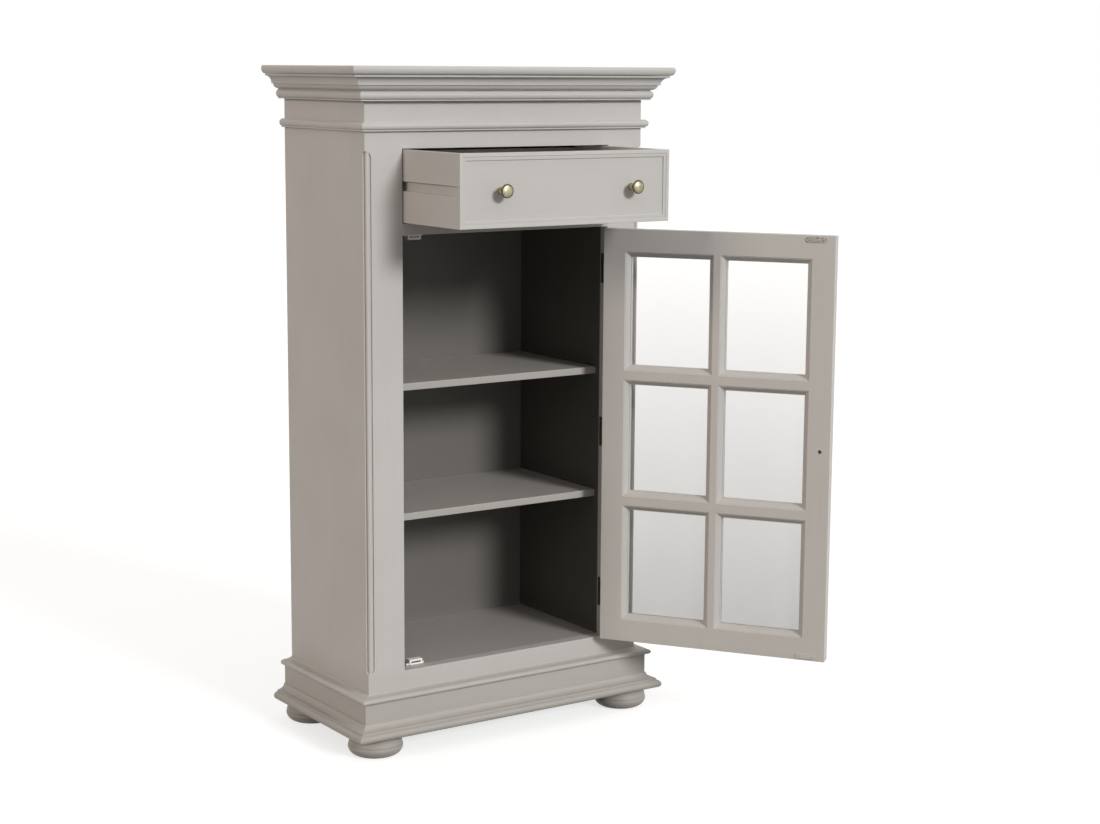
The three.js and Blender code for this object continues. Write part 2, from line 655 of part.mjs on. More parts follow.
function addDoorKnob() {
  const depth = knobScrew.grip + seatGap;
  const radius = knobScrew.shankRadius + knobScrew.clearance;
  const core = [[0, depth], [radius, depth], [radius, 0]].map(([r, z]) => new THREE.Vector2(r, z));
  const knob = addMesh(doorBoards, 'door_knob', knobGeometry(core).rotateX(Math.PI / 2), brass);
  knob.position.set(-doorHalf + doorKnobInset, -seatGap, doorMiddle);
  const headBottom = doorThickness - knobScrew.recess + seatGap;
  const screw = turned([
    [0, -knobScrew.grip], [knobScrew.shankRadius, -knobScrew.grip], [knobScrew.shankRadius, headBottom],
    [knobScrew.headRadius, headBottom], [knobScrew.headRadius, headBottom + knobScrew.headHeight / 2],
    [0, headBottom + knobScrew.headHeight],
  ].map(([r, z]) => new THREE.Vector2(r, z)), pinSides);
  const mesh = addMesh(doorBoards, 'door_knob_screw', screw.rotateX(-Math.PI / 2), darkMetal);
  mesh.position.set(-doorHalf + doorKnobInset, 0, doorMiddle);
}

// Hinges: side is 1 for the cabinet's leaf and -1 for the door's leaf

function leafRecess(z, edge, side) {
  const xs = [edge - side * overrun, edge + side * (hingeLeafThickness + seatGap)].sort((a, b) => a - b);
  const half = hingeHeight / 2 + seatGap;
  return boxBetween([xs[0], -overrun, z - half], [xs[1], hingeWidth + seatGap, z + half]);
}

function leaf(z, edge, side) {
  const xs = [edge, edge + side * hingeLeafThickness].sort((a, b) => a - b);
  const knuckle = hingeHeight / 3;
  const pieces = [boxBetween([xs[0], 0, z - hingeHeight / 2], [xs[1], hingeWidth, z + hingeHeight / 2])];
  const places = side > 0 ? [-1, 1] : [0];
  for (const place of places) {
    const low = z + place * knuckle - knuckle / 2 + (place === 1 ? knuckleGap : 0);
    const high = z + place * knuckle + knuckle / 2 - (place === -1 ? knuckleGap : 0);
    pieces.push(boxBetween([xs[0], pinY, low], [xs[1], seatGap, high]));
    pieces.push(rod(barrelRadius, low, high, pinSides).translate(pinX, pinY, 0));
  }
  if (side > 0) pieces.push(rod(hingePinRadius, z - knuckle, z + knuckle, pinSides).translate(pinX, pinY, 0));
  const whole = join(pieces);
  if (side > 0) return whole;
  const bore = hingePinRadius + knuckleGap;
  return cut(whole, [rod(bore, z - knuckle, z + knuckle, pinSides).translate(pinX, pinY, 0)]);
}

function addHinges() {
  for (const [name, z] of Object.entries(hingeHeights)) {
    addMesh(cabinet, `hinge_leaf_fixed_${name}`, leaf(z, openingHalf, 1), brass);
    addMesh(doorBoards, `hinge_leaf_door_${name}`, leaf(z, doorHalf, -1), brass);
  }
}

// Magnetic catches: up is 1 for the one that stands on the floor and -1 for the one that hangs

function addCatch(name, seat, up) {
  const { width, depth, height, lugWidth, lugThickness, lugDepth } = catchCase;
  const front = doorThickness + strike.thickness + catchStandoff;
  const spread = (size) => [catchX - size / 2, catchX + size / 2];
  const [caseLeft, caseRight] = spread(width);
  const [lugLeft, lugRight] = spread(lugWidth);
  const [slotLeft, slotRight] = spread(catchSlot.width);
  const span = (low, high) => [seat + up * low, seat + up * high].sort((a, b) => a - b);
  const [caseLow, caseHigh] = span(seatGap, height);
  const [lugLow, lugHigh] = span(seatGap, lugThickness);
  const lugFront = front + (depth - lugDepth) / 2;
  const body = join([
    boxBetween([caseLeft, front, caseLow], [caseRight, front + depth, caseHigh]),
    boxBetween([lugLeft, lugFront, lugLow], [lugRight, lugFront + lugDepth, lugHigh]),
  ]);
  const middle = seat + up * height / 2;
  const slot = boxBetween([slotLeft, front - overrun, middle - catchSlot.height / 2],
    [slotRight, front + catchSlot.depth, middle + catchSlot.height / 2]);
  addMesh(cabinet, `magnetic_catch_${name}`, cut(body, [slot]), catchPlastic);
}

function addStrike(name, centre) {
  const inset = (strike.width - strike.height) / 2;
  const shape = new THREE.Shape();
  shape.absarc(inset, 0, strike.height / 2, -Math.PI / 2, Math.PI / 2, false);
  shape.absarc(-inset, 0, strike.height / 2, Math.PI / 2, Math.PI * 1.5, false);
  const plate = new THREE.ExtrudeGeometry(shape, {
    depth: strike.thickness, bevelEnabled: false, curveSegments: arcSteps * 2,
  });
  const mesh = addMesh(doorBoards, `strike_plate_${name}`, plate.rotateX(-Math.PI / 2), steel);
  mesh.position.set(catchX, doorThickness + seatGap, centre);
}

function build() {
  addCornerPosts();
  addSides();
  addBackFloorAndShelves();
  addRails();
  addMouldings('plinth', plinthOutline(), footHeight);
  addMouldings('neck_bead', neckBeadOutline(), neckBeadBottom);
  addMouldings('cornice', corniceOutline(), corniceBottom);
  addTopBoard();
  addFeet();
  addRunners();
  addDrawerFront();
  addDrawerBox();
  addDrawerKnobs();
  addDoorFrame();
  addPanes();
  addDoorKnob();
  addHinges();
  addCatch('bottom', sillTop, 1);
  addCatch('top', midRailBottom, -1);
  addStrike('bottom', doorBottom + strike.edgeInset);
  addStrike('top', doorTop - strike.edgeInset);
}

build();
drawer.position.y = -drawerOut;
door.position.set(pinX, pinY, 0);
door.rotation.z = doorOpen;
doorBoards.position.set(-pinX, -pinY, 0);
door.add(doorBoards);
cabinet.add(drawer, door);

// The origin stands on the floor, under the middle of everything as it stands open
cabinet.updateMatrixWorld(true);
const extent = new THREE.Box3().setFromObject(cabinet, true);
const middle = extent.getCenter(new THREE.Vector3());
cabinet.position.set(-middle.x, -middle.y, -extent.min.z);

export default cabinet;
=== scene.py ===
import json
import math
import random

import bmesh
import bpy
from mathutils import Matrix, Vector


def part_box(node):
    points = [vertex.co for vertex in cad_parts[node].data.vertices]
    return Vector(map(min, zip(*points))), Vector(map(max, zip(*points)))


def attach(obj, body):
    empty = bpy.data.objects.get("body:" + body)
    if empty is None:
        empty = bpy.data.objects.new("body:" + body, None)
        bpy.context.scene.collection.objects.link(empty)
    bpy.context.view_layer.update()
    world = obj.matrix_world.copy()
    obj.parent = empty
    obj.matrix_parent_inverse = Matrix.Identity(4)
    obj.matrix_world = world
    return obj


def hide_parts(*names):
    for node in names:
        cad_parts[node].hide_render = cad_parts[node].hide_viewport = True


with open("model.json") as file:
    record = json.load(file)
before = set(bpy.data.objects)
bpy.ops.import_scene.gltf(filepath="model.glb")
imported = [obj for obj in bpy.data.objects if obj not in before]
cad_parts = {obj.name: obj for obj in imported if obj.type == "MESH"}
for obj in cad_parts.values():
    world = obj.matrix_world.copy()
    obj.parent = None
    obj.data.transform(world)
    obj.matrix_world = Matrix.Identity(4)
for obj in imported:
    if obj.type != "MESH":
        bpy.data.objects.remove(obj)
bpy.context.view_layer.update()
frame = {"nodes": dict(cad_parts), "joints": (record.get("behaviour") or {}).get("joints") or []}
mm = 0.001

# The cabinet's own place in the frame: x from its middle, y back from its face, z up
topLow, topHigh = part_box("top_board")
middleX = (topLow.x + topHigh.x) / 2
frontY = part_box("corner_post_left")[0].y

# Sizes that several pieces share, in millimetres
carcass = {
    "halfWidth": 340, "depth": 346, "fit": 0.3, "seam": 0.02, "foot": 42, "sill": 172,
    "doorHead": 1080, "drawerSill": 1104, "drawerHead": 1254, "neck": 1289, "cornice": 1349,
    "top": 1401, "opening": 254, "face": 24, "side": 18, "sideEasing": 0.7, "hiddenRise": 60,
}
overrun = 2  # how far a cutter runs past what it cuts
boreSides = 32  # flats round a drilled hole


def place(x, y, z):
    # from the cabinet's millimetres to the frame's metres
    return Vector((middleX + x * mm, frontY + y * mm, z * mm))


# Each piece is drawn with the drawer in and the door shut, then carried to where it stands
doorJoint = next(j for j in frame["joints"] if j["name"] == "door_hinge")
drawerJoint = next(j for j in frame["joints"] if j["name"] == "drawer_slide")
pin = Vector(doorJoint["pos_m"])
openAngle = -math.radians(doorJoint["range_deg"][0])  # the low limit is the shut door
carried = {
    "carcass": Matrix.Identity(4),
    "drawer": Matrix.Translation((0, drawerJoint["range_m"][0], 0)),
    "door": Matrix.Translation(pin) @ Matrix.Rotation(openAngle, 4, "Z") @ Matrix.Translation(-pin),
}


# Shader maths: a socket that takes part in Python sums

class Socket:
    def __init__(self, graph, link):
        self.graph = graph
        self.link = link

    def sum(self, operation, first, second):
        return self.graph.node("Math", {"operation": operation}, {0: first, 1: second})

    def __add__(self, other):
        return self.sum("ADD", self, other)

    def __radd__(self, other):
        return self.sum("ADD", other, self)

    def __sub__(self, other):
        return self.sum("SUBTRACT", self, other)

    def __rsub__(self, other):
        return self.sum("SUBTRACT", other, self)

    def __mul__(self, other):
        return self.sum("MULTIPLY", self, other)

    def __rmul__(self, other):
        return self.sum("MULTIPLY", other, self)


class Graph:
    # the nodes of one material or world
    def __init__(self, owner):
        owner.use_nodes = True
        self.owner = owner
        self.tree = owner.node_tree
        self.tree.nodes.clear()

    def node(self, kind, settings=None, sockets=None, out=0):
        made = self.tree.nodes.new("ShaderNode" + kind)
        for key, value in (settings or {}).items():
            setattr(made, key, value)
        for key, value in (sockets or {}).items():
            if isinstance(value, Socket):
                self.tree.links.new(value.link, made.inputs[key])
            else:
                made.inputs[key].default_value = value
        return Socket(self, made.outputs[out]) if len(made.outputs) else None

    def mixColour(self, factor, first, second):
        return self.node("Mix", {"data_type": "RGBA"}, {0: factor, 6: first, 7: second}, 2)

    def part(self, vector, axis):
        return self.node("SeparateXYZ", {}, {0: vector}, axis)

    def scaled(self, vector, by):
        return self.node("VectorMath", {"operation": "MULTIPLY"}, {0: vector, 1: by})

    def noise(self, vector, scale, detail=2.0, roughness=0.5):
        return self.node("TexNoise", {}, {"Vector": vector, "Scale": scale, "Detail": detail,
                                          "Roughness": roughness})

    def bump(self, height, strength, distance):
        return self.node("Bump", {}, {"Strength": strength, "Distance": distance, "Height": height})

    def between(self, value, low, high):
        # 0 at low, 1 at high, whichever is the larger
        return self.node("MapRange", {}, {0: value, 1: low, 2: high, 3: 0.0, 4: 1.0})

    def seenDirectly(self):
        # 1 for the camera, and for what metal and glass show
        return (self.node("LightPath", {}, {}, "Is Camera Ray")
                + self.node("LightPath", {}, {}, "Is Glossy Ray")
                + self.node("LightPath", {}, {}, "Is Transmission Ray"))

    def finish(self, surface, output="OutputMaterial"):
        self.node(output, {}, {"Surface": surface})
        return self.owner


def linear(red, green, blue):
    # a colour picked on screen, 0 to 255, as Blender's own
    shades = [c / 255 for c in (red, green, blue)]
    return tuple(c / 12.92 if c <= 0.04045 else ((c + 0.055) / 1.055) ** 2.4 for c in shades) + (1,)


# Materials

paintLook = {
    # fresh and settled shades; inside, lining and shelf are painted shade, darker copies of the outside paint
    # for the shade inside the cupboard
    "outside": (linear(191, 188, 185), linear(171, 166, 161)),
    "inside": (linear(106, 103, 99), linear(92, 88, 83)),
    "liningShade": (linear(80, 77, 72), linear(69, 65, 60)),
    "shelf": (linear(168, 164, 159), linear(150, 145, 139)),
    "low": linear(148, 143, 136), "lowShadeSpan": (0.19, 0.01), "lowShadeShare": 0.9,  # painted shade: a darker, browner foot by height, for the shade under the plinth
    # painted highlight and wear: rounded edges take a lighter tone, partly rubbed paint, partly light caught
    # on the rounding
    "wornAndHighlitTone": linear(209, 205, 199), "wearAndHighlight": 0.3, "wearAndHighlightLeast": 0.4,
    # each noise has its waves to the metre, its detail and its roughness
    "cloud": (5.5, 3.0, 0.55), "cloudSpan": (0.3, 0.7), "cloudShare": 0.17, "cloudRough": 0.07,
    "grain": (1.0, 3.0, 0.6), "grainSpan": (0.45, 0.75), "grainShare": 0.1, "grainRough": 0.06,
    "grainWaves": (150, 150, 6), "grainRelief": 0.5,  # the brush and the wood run along the board
    "peel": (560, 1.0, 0.4), "peelRelief": 0.35,
    "rubAndHighlight": (38, 3.0, 0.6), "rubAndHighlightSpan": (0.35, 0.65), "rubSmooth": 0.06,
    "roughness": 0.47, "refraction": 1.48, "gloss": 0.42, "bump": (0.2, 0.0005),  # strength, height in metres
}


def paintMaterial(name, where):
    look = paintLook
    fresh, settled = look[where]
    g = Graph(bpy.data.materials.new(name))
    board = g.node("Attribute", {"attribute_name": "boardPlace"}, {}, "Vector")
    edge = g.node("Attribute", {"attribute_name": "arris"}, {}, "Fac")
    cloud = g.between(g.noise(board, *look["cloud"]), *look["cloudSpan"])
    grain = g.noise(g.scaled(board, look["grainWaves"]), *look["grain"])
    peel = g.noise(board, *look["peel"])
    rubAndHighlight = g.between(g.noise(board, *look["rubAndHighlight"]), *look["rubAndHighlightSpan"])
    height = g.part(g.node("TexCoord", {}, {}, "Object"), "Z")
    tone = g.mixColour(cloud * look["cloudShare"], fresh, settled)
    tone = g.mixColour(g.between(grain, *look["grainSpan"]) * look["grainShare"], tone, settled)
    # painted shade: darker and browner towards the floor
    tone = g.mixColour(g.between(height, *look["lowShadeSpan"]) * look["lowShadeShare"], tone, look["low"])
    # painted highlight and wear: lighter on the rounded edges, unevenly
    rubbedAndHighlit = edge * (look["wearAndHighlightLeast"] + rubAndHighlight * (1 - look["wearAndHighlightLeast"]))
    tone = g.mixColour(rubbedAndHighlit * look["wearAndHighlight"], tone, look["wornAndHighlitTone"])
    rough = look["roughness"] + cloud * look["cloudRough"] + grain * look["grainRough"]
    relief = grain * look["grainRelief"] + peel * look["peelRelief"]
    return g.finish(g.node("BsdfPrincipled", {}, {
        "Base Color": tone, "Roughness": rough - edge * look["rubSmooth"], "IOR": look["refraction"],
        "Specular IOR Level": look["gloss"], "Normal": g.bump(relief, *look["bump"]),
    }))


glassLook = {
    "tint": linear(96, 99, 98), "dust": linear(128, 130, 127), "refraction": 1.5,
    "roughness": 0.04, "smearRough": 0.03,
    "topAlpha": 0.015, "shadedFootAlpha": 0.37, "span": (1.06, 0.2), "streakAlpha": 0.04,  # painted shade: greyer and less clear towards the foot, for the darker backdrop seen through the panes
    "streakWaves": (3.0, 3.0, 0.6), "streak": (1.3, 2.0), "smearWaves": (9.0, 9.0, 4.0), "smear": (2.0, 3.0),
}


def glassMaterial():
    look = glassLook
    g = Graph(bpy.data.materials.new("clearGlass"))
    spot = g.node("TexCoord", {}, {}, "Object")
    # painted shade: the panes' grey rises towards the foot of the door
    low = g.between(g.part(spot, "Z"), *look["span"])
    streak = g.noise(g.scaled(spot, look["streakWaves"]), *look["streak"])
    smear = g.noise(g.scaled(spot, look["smearWaves"]), *look["smear"])
    alpha = look["topAlpha"] + low * (look["shadedFootAlpha"] - look["topAlpha"])
    alpha = alpha + (streak - 0.5) * look["streakAlpha"]
    return g.finish(g.node("BsdfPrincipled", {}, {
        "Base Color": g.mixColour(smear, look["tint"], look["dust"]), "Alpha": alpha,
        "Roughness": look["roughness"] + smear * look["smearRough"], "IOR": look["refraction"],
    }))


fittingKinds = {
    "metal": {"metallic": 1.0, "span": (0.35, 0.65), "fineDetail": 2.0, "bump": (0.12, 0.0002)},
    "plastic": {"metallic": 0.0, "span": (0.4, 0.75), "fineDetail": 1.0, "bump": (0.1, 0.0001)},
}
fittingCloud = (3.0, 0.6)  # detail and roughness
fittingLooks = {
    # kind, clean and dull shade, roughness and its spread, waves to the metre of the clouds and the grain
    "agedBrass": ("metal", linear(180, 175, 149), linear(138, 131, 105), 0.36, 0.16, 170, 1530),
    # painted shade: darker brass copies for the stem under the knob's head and for the dark reflection round
    # its rim
    "brassStem": ("metal", linear(150, 142, 112), linear(92, 84, 62), 0.36, 0.2, 200, 1800),
    "brassGroove": ("metal", linear(98, 90, 68), linear(64, 57, 42), 0.42, 0.15, 260, 2340),
    "hingeBrass": ("metal", linear(112, 101, 76), linear(58, 51, 39), 0.42, 0.2, 220, 1980),
    "darkSteel": ("metal", linear(98, 95, 90), linear(58, 55, 51), 0.42, 0.16, 300, 2700),
    "plainSteel": ("metal", linear(188, 187, 185), linear(142, 140, 137), 0.3, 0.14, 300, 2700),
    "wornSteel": ("metal", linear(168, 165, 160), linear(84, 80, 75), 0.4, 0.2, 420, 3780),
    "catchWhite": ("plastic", linear(242, 241, 238), linear(220, 217, 210), 0.34, 0.12, 90, 2600),
    # black for the magnet, and painted shade for the screws' slots
    "magnetBlackAndSlotShade": ("plastic", linear(34, 33, 32), linear(54, 51, 48), 0.6, 0.12, 90, 2600),
}


def fittingMaterial(name):
    kind, clean, dull, rough, spread, waves, fineWaves = fittingLooks[name]
    kind = fittingKinds[kind]
    g = Graph(bpy.data.materials.new(name))
    spot = g.node("TexCoord", {}, {}, "Object")
    cloud = g.between(g.noise(spot, waves, *fittingCloud), *kind["span"])
    fine = g.noise(spot, fineWaves, kind["fineDetail"])
    return g.finish(g.node("BsdfPrincipled", {}, {
        "Base Color": g.mixColour(cloud, clean, dull), "Metallic": kind["metallic"],
        "Roughness": rough + cloud * spread, "Normal": g.bump(fine, *kind["bump"]),
    }))


paint = paintMaterial("greyPaint", "outside")
shadedPaintInside = paintMaterial("greyPaintInside", "inside")
shadedPaintLining = paintMaterial("shadedGreyPaintLining", "liningShade")
shadedPaintShelf = paintMaterial("shadedGreyPaintShelf", "shelf")
glass = glassMaterial()
(agedBrass, brassStem, brassGroove, hingeBrass, darkSteel, plainSteel, wornSteel,
 catchWhite, magnetBlackAndSlotShade) = map(fittingMaterial, fittingLooks)
print("materials ready")


# Making a piece

arcSteps = 12  # flats in a quarter or half turn of a moulding
straightShare = 0.99  # how much of an edge's length lies along its way
evenWeight = 60  # how much the large faces count in even shading
patternShift = 2  # how far the paint's pattern may be shifted on a board, in metres


def newObject(name, data):
    made = bpy.data.objects.new(name, data)
    bpy.context.scene.collection.objects.link(made)
    return made


def arrisOf(bm):
    return bm.faces.layers.float.get("arris") or bm.faces.layers.float.new("arris")


def roundEdges(bm, picked, width, steps):
    # rounds the edges that are picked, and marks the rounding as arris
    layer = arrisOf(bm)
    edges = [edge for edge in bm.edges if picked(edge)]
    if edges:
        rounded = bmesh.ops.bevel(bm, geom=edges, offset=width * mm, offset_type="OFFSET",
                                  segments=steps, profile=0.5, affect="EDGES", clamp_overlap=False)
        for made in rounded["faces"]:
            made[layer] = 1.0


def softenEdges(bm, width, way=None, shortest=9, angle=50, steps=2):
    # rounds the long sharp edges, those that run one way or all of them
    def picked(edge):
        run = edge.verts[1].co - edge.verts[0].co
        if run.length < shortest * mm or len(edge.link_faces) != 2:
            return False
        if way is not None and abs(run[way]) < straightShare * run.length:
            return False
        return edge.calc_face_angle(0) > math.radians(angle)

    roundEdges(bm, picked, width, steps)


def finishPiece(name, bm, body, nodes, materials, along=2, smooth=32, seed=None, even=False):
    # seed is the board that the paint's pattern belongs to; even shades flats and roundings apart
    chance = random.Random(seed or name)
    shift = [chance.uniform(-patternShift, patternShift) for _ in range(3)]
    spots = bm.verts.layers.float_vector.new("boardPlace")
    for vertex in bm.verts:
        p = [vertex.co[(along + n) % 3] for n in (1, 2, 3)]
        vertex[spots] = Vector([a + b for a, b in zip(p, shift)])
    arrisOf(bm)
    bmesh.ops.recalc_face_normals(bm, faces=bm.faces[:])
    bmesh.ops.transform(bm, matrix=carried[body], verts=bm.verts[:])
    mesh = bpy.data.meshes.new(name)
    bm.to_mesh(mesh)
    bm.free()
    for material in materials:
        mesh.materials.append(material)
    mesh.polygons.foreach_set("use_smooth", [True] * len(mesh.polygons))
    mesh.set_sharp_from_angle(angle=math.radians(smooth))
    piece = newObject(name, mesh)
    if even:
        modifier = piece.modifiers.new("evenShading", "WEIGHTED_NORMAL")
        modifier.keep_sharp = True
        modifier.weight = evenWeight
    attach(piece, body)
    if nodes:
        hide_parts(*nodes)


def paintedPiece(name, bm, body, nodes, along, smooth=32, seed=None, even=True):
    finishPiece(name, bm, body, nodes, [paint], along, smooth, seed, even)


def merge(bm, other):
    mesh = bpy.data.meshes.new("loose")
    other.to_mesh(mesh)
    other.free()
    bm.from_mesh(mesh)
    bpy.data.meshes.remove(mesh)


def skinRings(bm, rings):
    # a skin over rings of points, with the two ends filled in last
    loops = [[bm.verts.new(p) for p in ring] for ring in rings]
    faces = []
    for a, b in zip(loops, loops[1:]):
        for i in range(len(a)):
            j = (i + 1) % len(a)
            faces.append(bm.faces.new((a[i], a[j], b[j], b[i])))
    return faces + [bm.faces.new(loops[0][::-1]), bm.faces.new(loops[-1])]


def boxInto(bm, low, high, index=0):
    corners = ((low[0], low[1]), (high[0], low[1]), (high[0], high[1]), (low[0], high[1]))
    for made in skinRings(bm, [[place(x, y, z) for x, y in corners] for z in (low[2], high[2])]):
        made.material_index = index


def latheInto(bm, outline, centre, axis, sides, bands=None):
    # outline holds (radius, height) in mm, from the axis to the axis; bands gives each step's material
    axis = Vector(axis)
    aside = axis.orthogonal().normalized()
    across = axis.cross(aside)
    rings = []
    for radius, height in outline:
        middle = Vector(centre) + axis * height
        if radius <= 0:
            rings.append([bm.verts.new(place(*middle))])
            continue
        ring = []
        for i in range(sides):
            t = 2 * math.pi * i / sides
            out = aside * math.cos(t) + across * math.sin(t)
            ring.append(bm.verts.new(place(*(middle + out * radius))))
        rings.append(ring)
    for n, (a, b) in enumerate(zip(rings, rings[1:])):
        for i in range(sides):
            j = (i + 1) % sides
            corners = [a[i % len(a)], a[j % len(a)], b[j % len(b)], b[i % len(b)]]
            made = bm.faces.new(list(dict.fromkeys(corners)))
            made.material_index = bands[n] if bands else 0


def curved(points, steps):
    # a smooth line through points, which stays on them
    line = []
    for i in range(len(points) - 1):
        p0, p1 = points[max(i - 1, 0)], points[i]
        p2, p3 = points[i + 1], points[min(i + 2, len(points) - 1)]
        for t in [k / steps for k in range(steps)]:
            line.append(tuple(
                0.5 * (2 * b + (c - a) * t + (2 * a - 5 * b + 4 * c - d) * t * t
                       + (3 * b - a - 3 * c + d) * t ** 3)
                for a, b, c, d in zip(p0, p1, p2, p3)))
    line.append(points[-1])
    return line


def arc(centre, reach, start, end, steps=arcSteps):
    # from start to end, in degrees, round centre
    points = []
    for i in range(steps + 1):
        t = math.radians(start + (end - start) * i / steps)
        points.append((centre[0] + reach[0] * math.cos(t), centre[1] + reach[1] * math.sin(t)))
    return points


def tidyOutline(points, nearest=0.05):
    # leaves out points that all but repeat the last one
    kept = []
    for p in points:
        if not kept or math.dist(p, kept[-1]) > nearest:
            kept.append(p)
    return kept


def easedSteps(width, steps=4):
    # how far in from the edge and how far below the face, round a quarter turn
    turns = [math.radians(90 * i / steps) for i in range(steps + 1)]
    return [(width * (1 - math.sin(t)), width * (1 - math.cos(t))) for t in turns]


def looseObject(bm):
    mesh = bpy.data.meshes.new("loose")
    bmesh.ops.recalc_face_normals(bm, faces=bm.faces[:])
    bm.to_mesh(mesh)
    bm.free()
    return newObject("loose", mesh)


def carve(bm, tools, operation="DIFFERENCE"):
    # cuts each tool's shape from the piece, or keeps only what they share
    piece = looseObject(bm)
    cutters = [looseObject(shape) for shape in tools]
    for cutter in cutters:
        modifier = piece.modifiers.new("carve", "BOOLEAN")
        modifier.object = cutter
        modifier.operation = operation
        modifier.solver = "EXACT"
    bpy.context.view_layer.update()
    done = bpy.data.meshes.new_from_object(piece.evaluated_get(bpy.context.evaluated_depsgraph_get()))
    made = bmesh.new()
    made.from_mesh(done)
    bpy.data.meshes.remove(done)
    for loose in [piece] + cutters:
        mesh = loose.data
        bpy.data.objects.remove(loose)
        bpy.data.meshes.remove(mesh)
    return made


def tool(draw, *shape):
    # a cutter drawn by itself
    bm = bmesh.new()
    draw(bm, *shape)
    return bm


# Face of the carcass: two stiles and three rails, glued flush, with a stopped bead up each corner

face = {
    "easing": 0.8,
    # a round bead in a rebate: the rebate's reach from the corner, the quirk's depth and the bead's middle
    "bead": {"front": 14.2, "side": 8.4, "quirk": 3.2, "centre": (7.4, 5), "radius": 4.6, "lip": 0.45,
             "low": 175, "high": 1250, "steps": 20},
}
hinge = {
    "heights": {"lower": 270, "middle": 630, "upper": 989}, "height": 64, "width": 22, "thick": 1.2,
    "barrel": 3.2, "barrelSides": 32, "pin": (253.25, -4), "gap": 0.4, "webIn": 0.2, "easing": 0.3,
    "screws": (-22, 0, 22), "screwIn": 13.5, "stagger": 3, "screw": 3.1, "screwProud": 0.35,
    "post": 254, "door": 252.5,
}


def hingeRecesses(left, right):
    # what the leaves are let into
    half, deep = hinge["height"] / 2 + carcass["fit"], hinge["width"] + carcass["fit"]
    return [tool(boxInto, (left, -overrun, z - half), (right, deep, z + half))
            for z in hinge["heights"].values()]


def facePoints(offset):
    # the lines of the face, each moved by offset into the wood
    c = carcass
    xs = [-c["halfWidth"] + offset, -c["opening"] - offset, c["opening"] + offset, c["halfWidth"] - offset]
    zs = [c["foot"] + c["fit"] + offset, c["hiddenRise"] + offset, c["sill"] - offset, c["doorHead"] + offset,
          c["drawerSill"] - offset, c["drawerHead"] + offset, c["top"] - c["fit"] - offset]
    return xs, zs


def beadTool(side):
    # the bead and the wood behind it are what the cutter leaves out
    b, half = face["bead"], carcass["halfWidth"]
    lip, steps = b["lip"], b["steps"]
    centre, radius = b["centre"], b["radius"]
    start = -math.degrees(math.asin((centre[1] - b["quirk"]) / radius))
    end = -180 - math.degrees(math.asin((b["side"] - centre[1]) / radius))
    front, rear = b["front"], b["side"]
    section = [(front + lip, -overrun), (front + lip, 0), (front, lip), (front, b["quirk"])]
    section += arc(centre, (radius, radius), start, end, steps)
    section += [(lip, rear), (0, rear + lip), (-overrun, rear + lip), (-overrun, -overrun)]
    low, high = b["low"], b["high"]

    def arch(width):
        points = [(-overrun, low)] + arc((0, low + width), (width, width), -90, 0, steps)
        return points + arc((0, high - width), (width, width), 0, 90, steps) + [(-overrun, high)]

    bar = tool(skinRings, [[place(side * (half - x), y, z) for x, y in section]
                           for z in (low - overrun, high + overrun)])
    reach = front + lip + overrun
    across = tool(skinRings, [[place(side * (half - x), y, z) for x, z in arch(front + lip)]
                              for y in (-reach, reach)])
    inward = tool(skinRings, [[place(side * (half - x), y, z) for y, z in arch(rear + lip)]
                              for x in (-reach, reach)])
    return carve(bar, [across, inward], "INTERSECT")


def faceFrame():
    c = carcass
    levels = easedSteps(face["easing"]) + [(0, c["face"])]
    bm = bmesh.new()
    layer = arrisOf(bm)
    grids = []
    for offset, y in levels:
        xs, zs = facePoints(offset)
        grids.append({(i, k): bm.verts.new(place(x, y, z))
                      for i, x in enumerate(xs) for k, z in enumerate(zs)})
    wood = {(i, k) for i in (0, 2) for k in range(6)} | {(1, 1), (1, 3), (1, 5)}  # the cells that aren't open
    for i, k in wood:
        corners = ((i, k), (i + 1, k), (i + 1, k + 1), (i, k + 1))
        bm.faces.new([grids[0][n] for n in corners])
        bm.faces.new([grids[-1][n] for n in corners[::-1]])
        sides = (((i, k - 1), 0, 1), ((i + 1, k), 1, 2), ((i, k + 1), 2, 3), ((i - 1, k), 3, 0))
        for beyond, a, b in sides:
            if beyond in wood:
                continue
            for n, (near, far) in enumerate(zip(grids, grids[1:])):
                made = bm.faces.new((near[corners[a]], near[corners[b]], far[corners[b]], far[corners[a]]))
                made[layer] = 1.0 if n < len(levels) - 2 else 0.0
    for vertex in [v for v in bm.verts if not v.link_faces]:
        bm.verts.remove(vertex)
    recesses = hingeRecesses(c["opening"] - overrun, c["opening"] + hinge["thick"] + c["fit"])
    bm = carve(bm, [beadTool(-1), beadTool(1)] + recesses)
    paintedPiece("faceFrame", bm, "carcass", [
        "corner_post_left", "corner_post_right", "top_rail", "mid_rail", "bottom_rail",
    ], 2, seed="outside")


faceFrame()


# Outer sides, close behind the face

def sidePanel(name, way):
    c = carcass
    bm = bmesh.new()
    xs = sorted((way * c["halfWidth"], way * (c["halfWidth"] - c["side"])))
    low, high = c["foot"] + c["fit"], c["top"] - c["fit"]
    boxInto(bm, (xs[0], c["face"] + c["seam"], low), (xs[1], c["depth"], high))
    rear = frontY + (c["depth"] - 1) * mm
    roundEdges(bm, lambda edge: all(v.co.y > rear for v in edge.verts)
               and edge.verts[0].co.z != edge.verts[1].co.z, c["sideEasing"], 3)
    paintedPiece(f"side_{name}", bm, "carcass", [f"side_panel_{name}"], 2, seed="outside")


sidePanel("left", -1)
sidePanel("right", 1)


# Inner boards: the frame's own solids, eased along their length

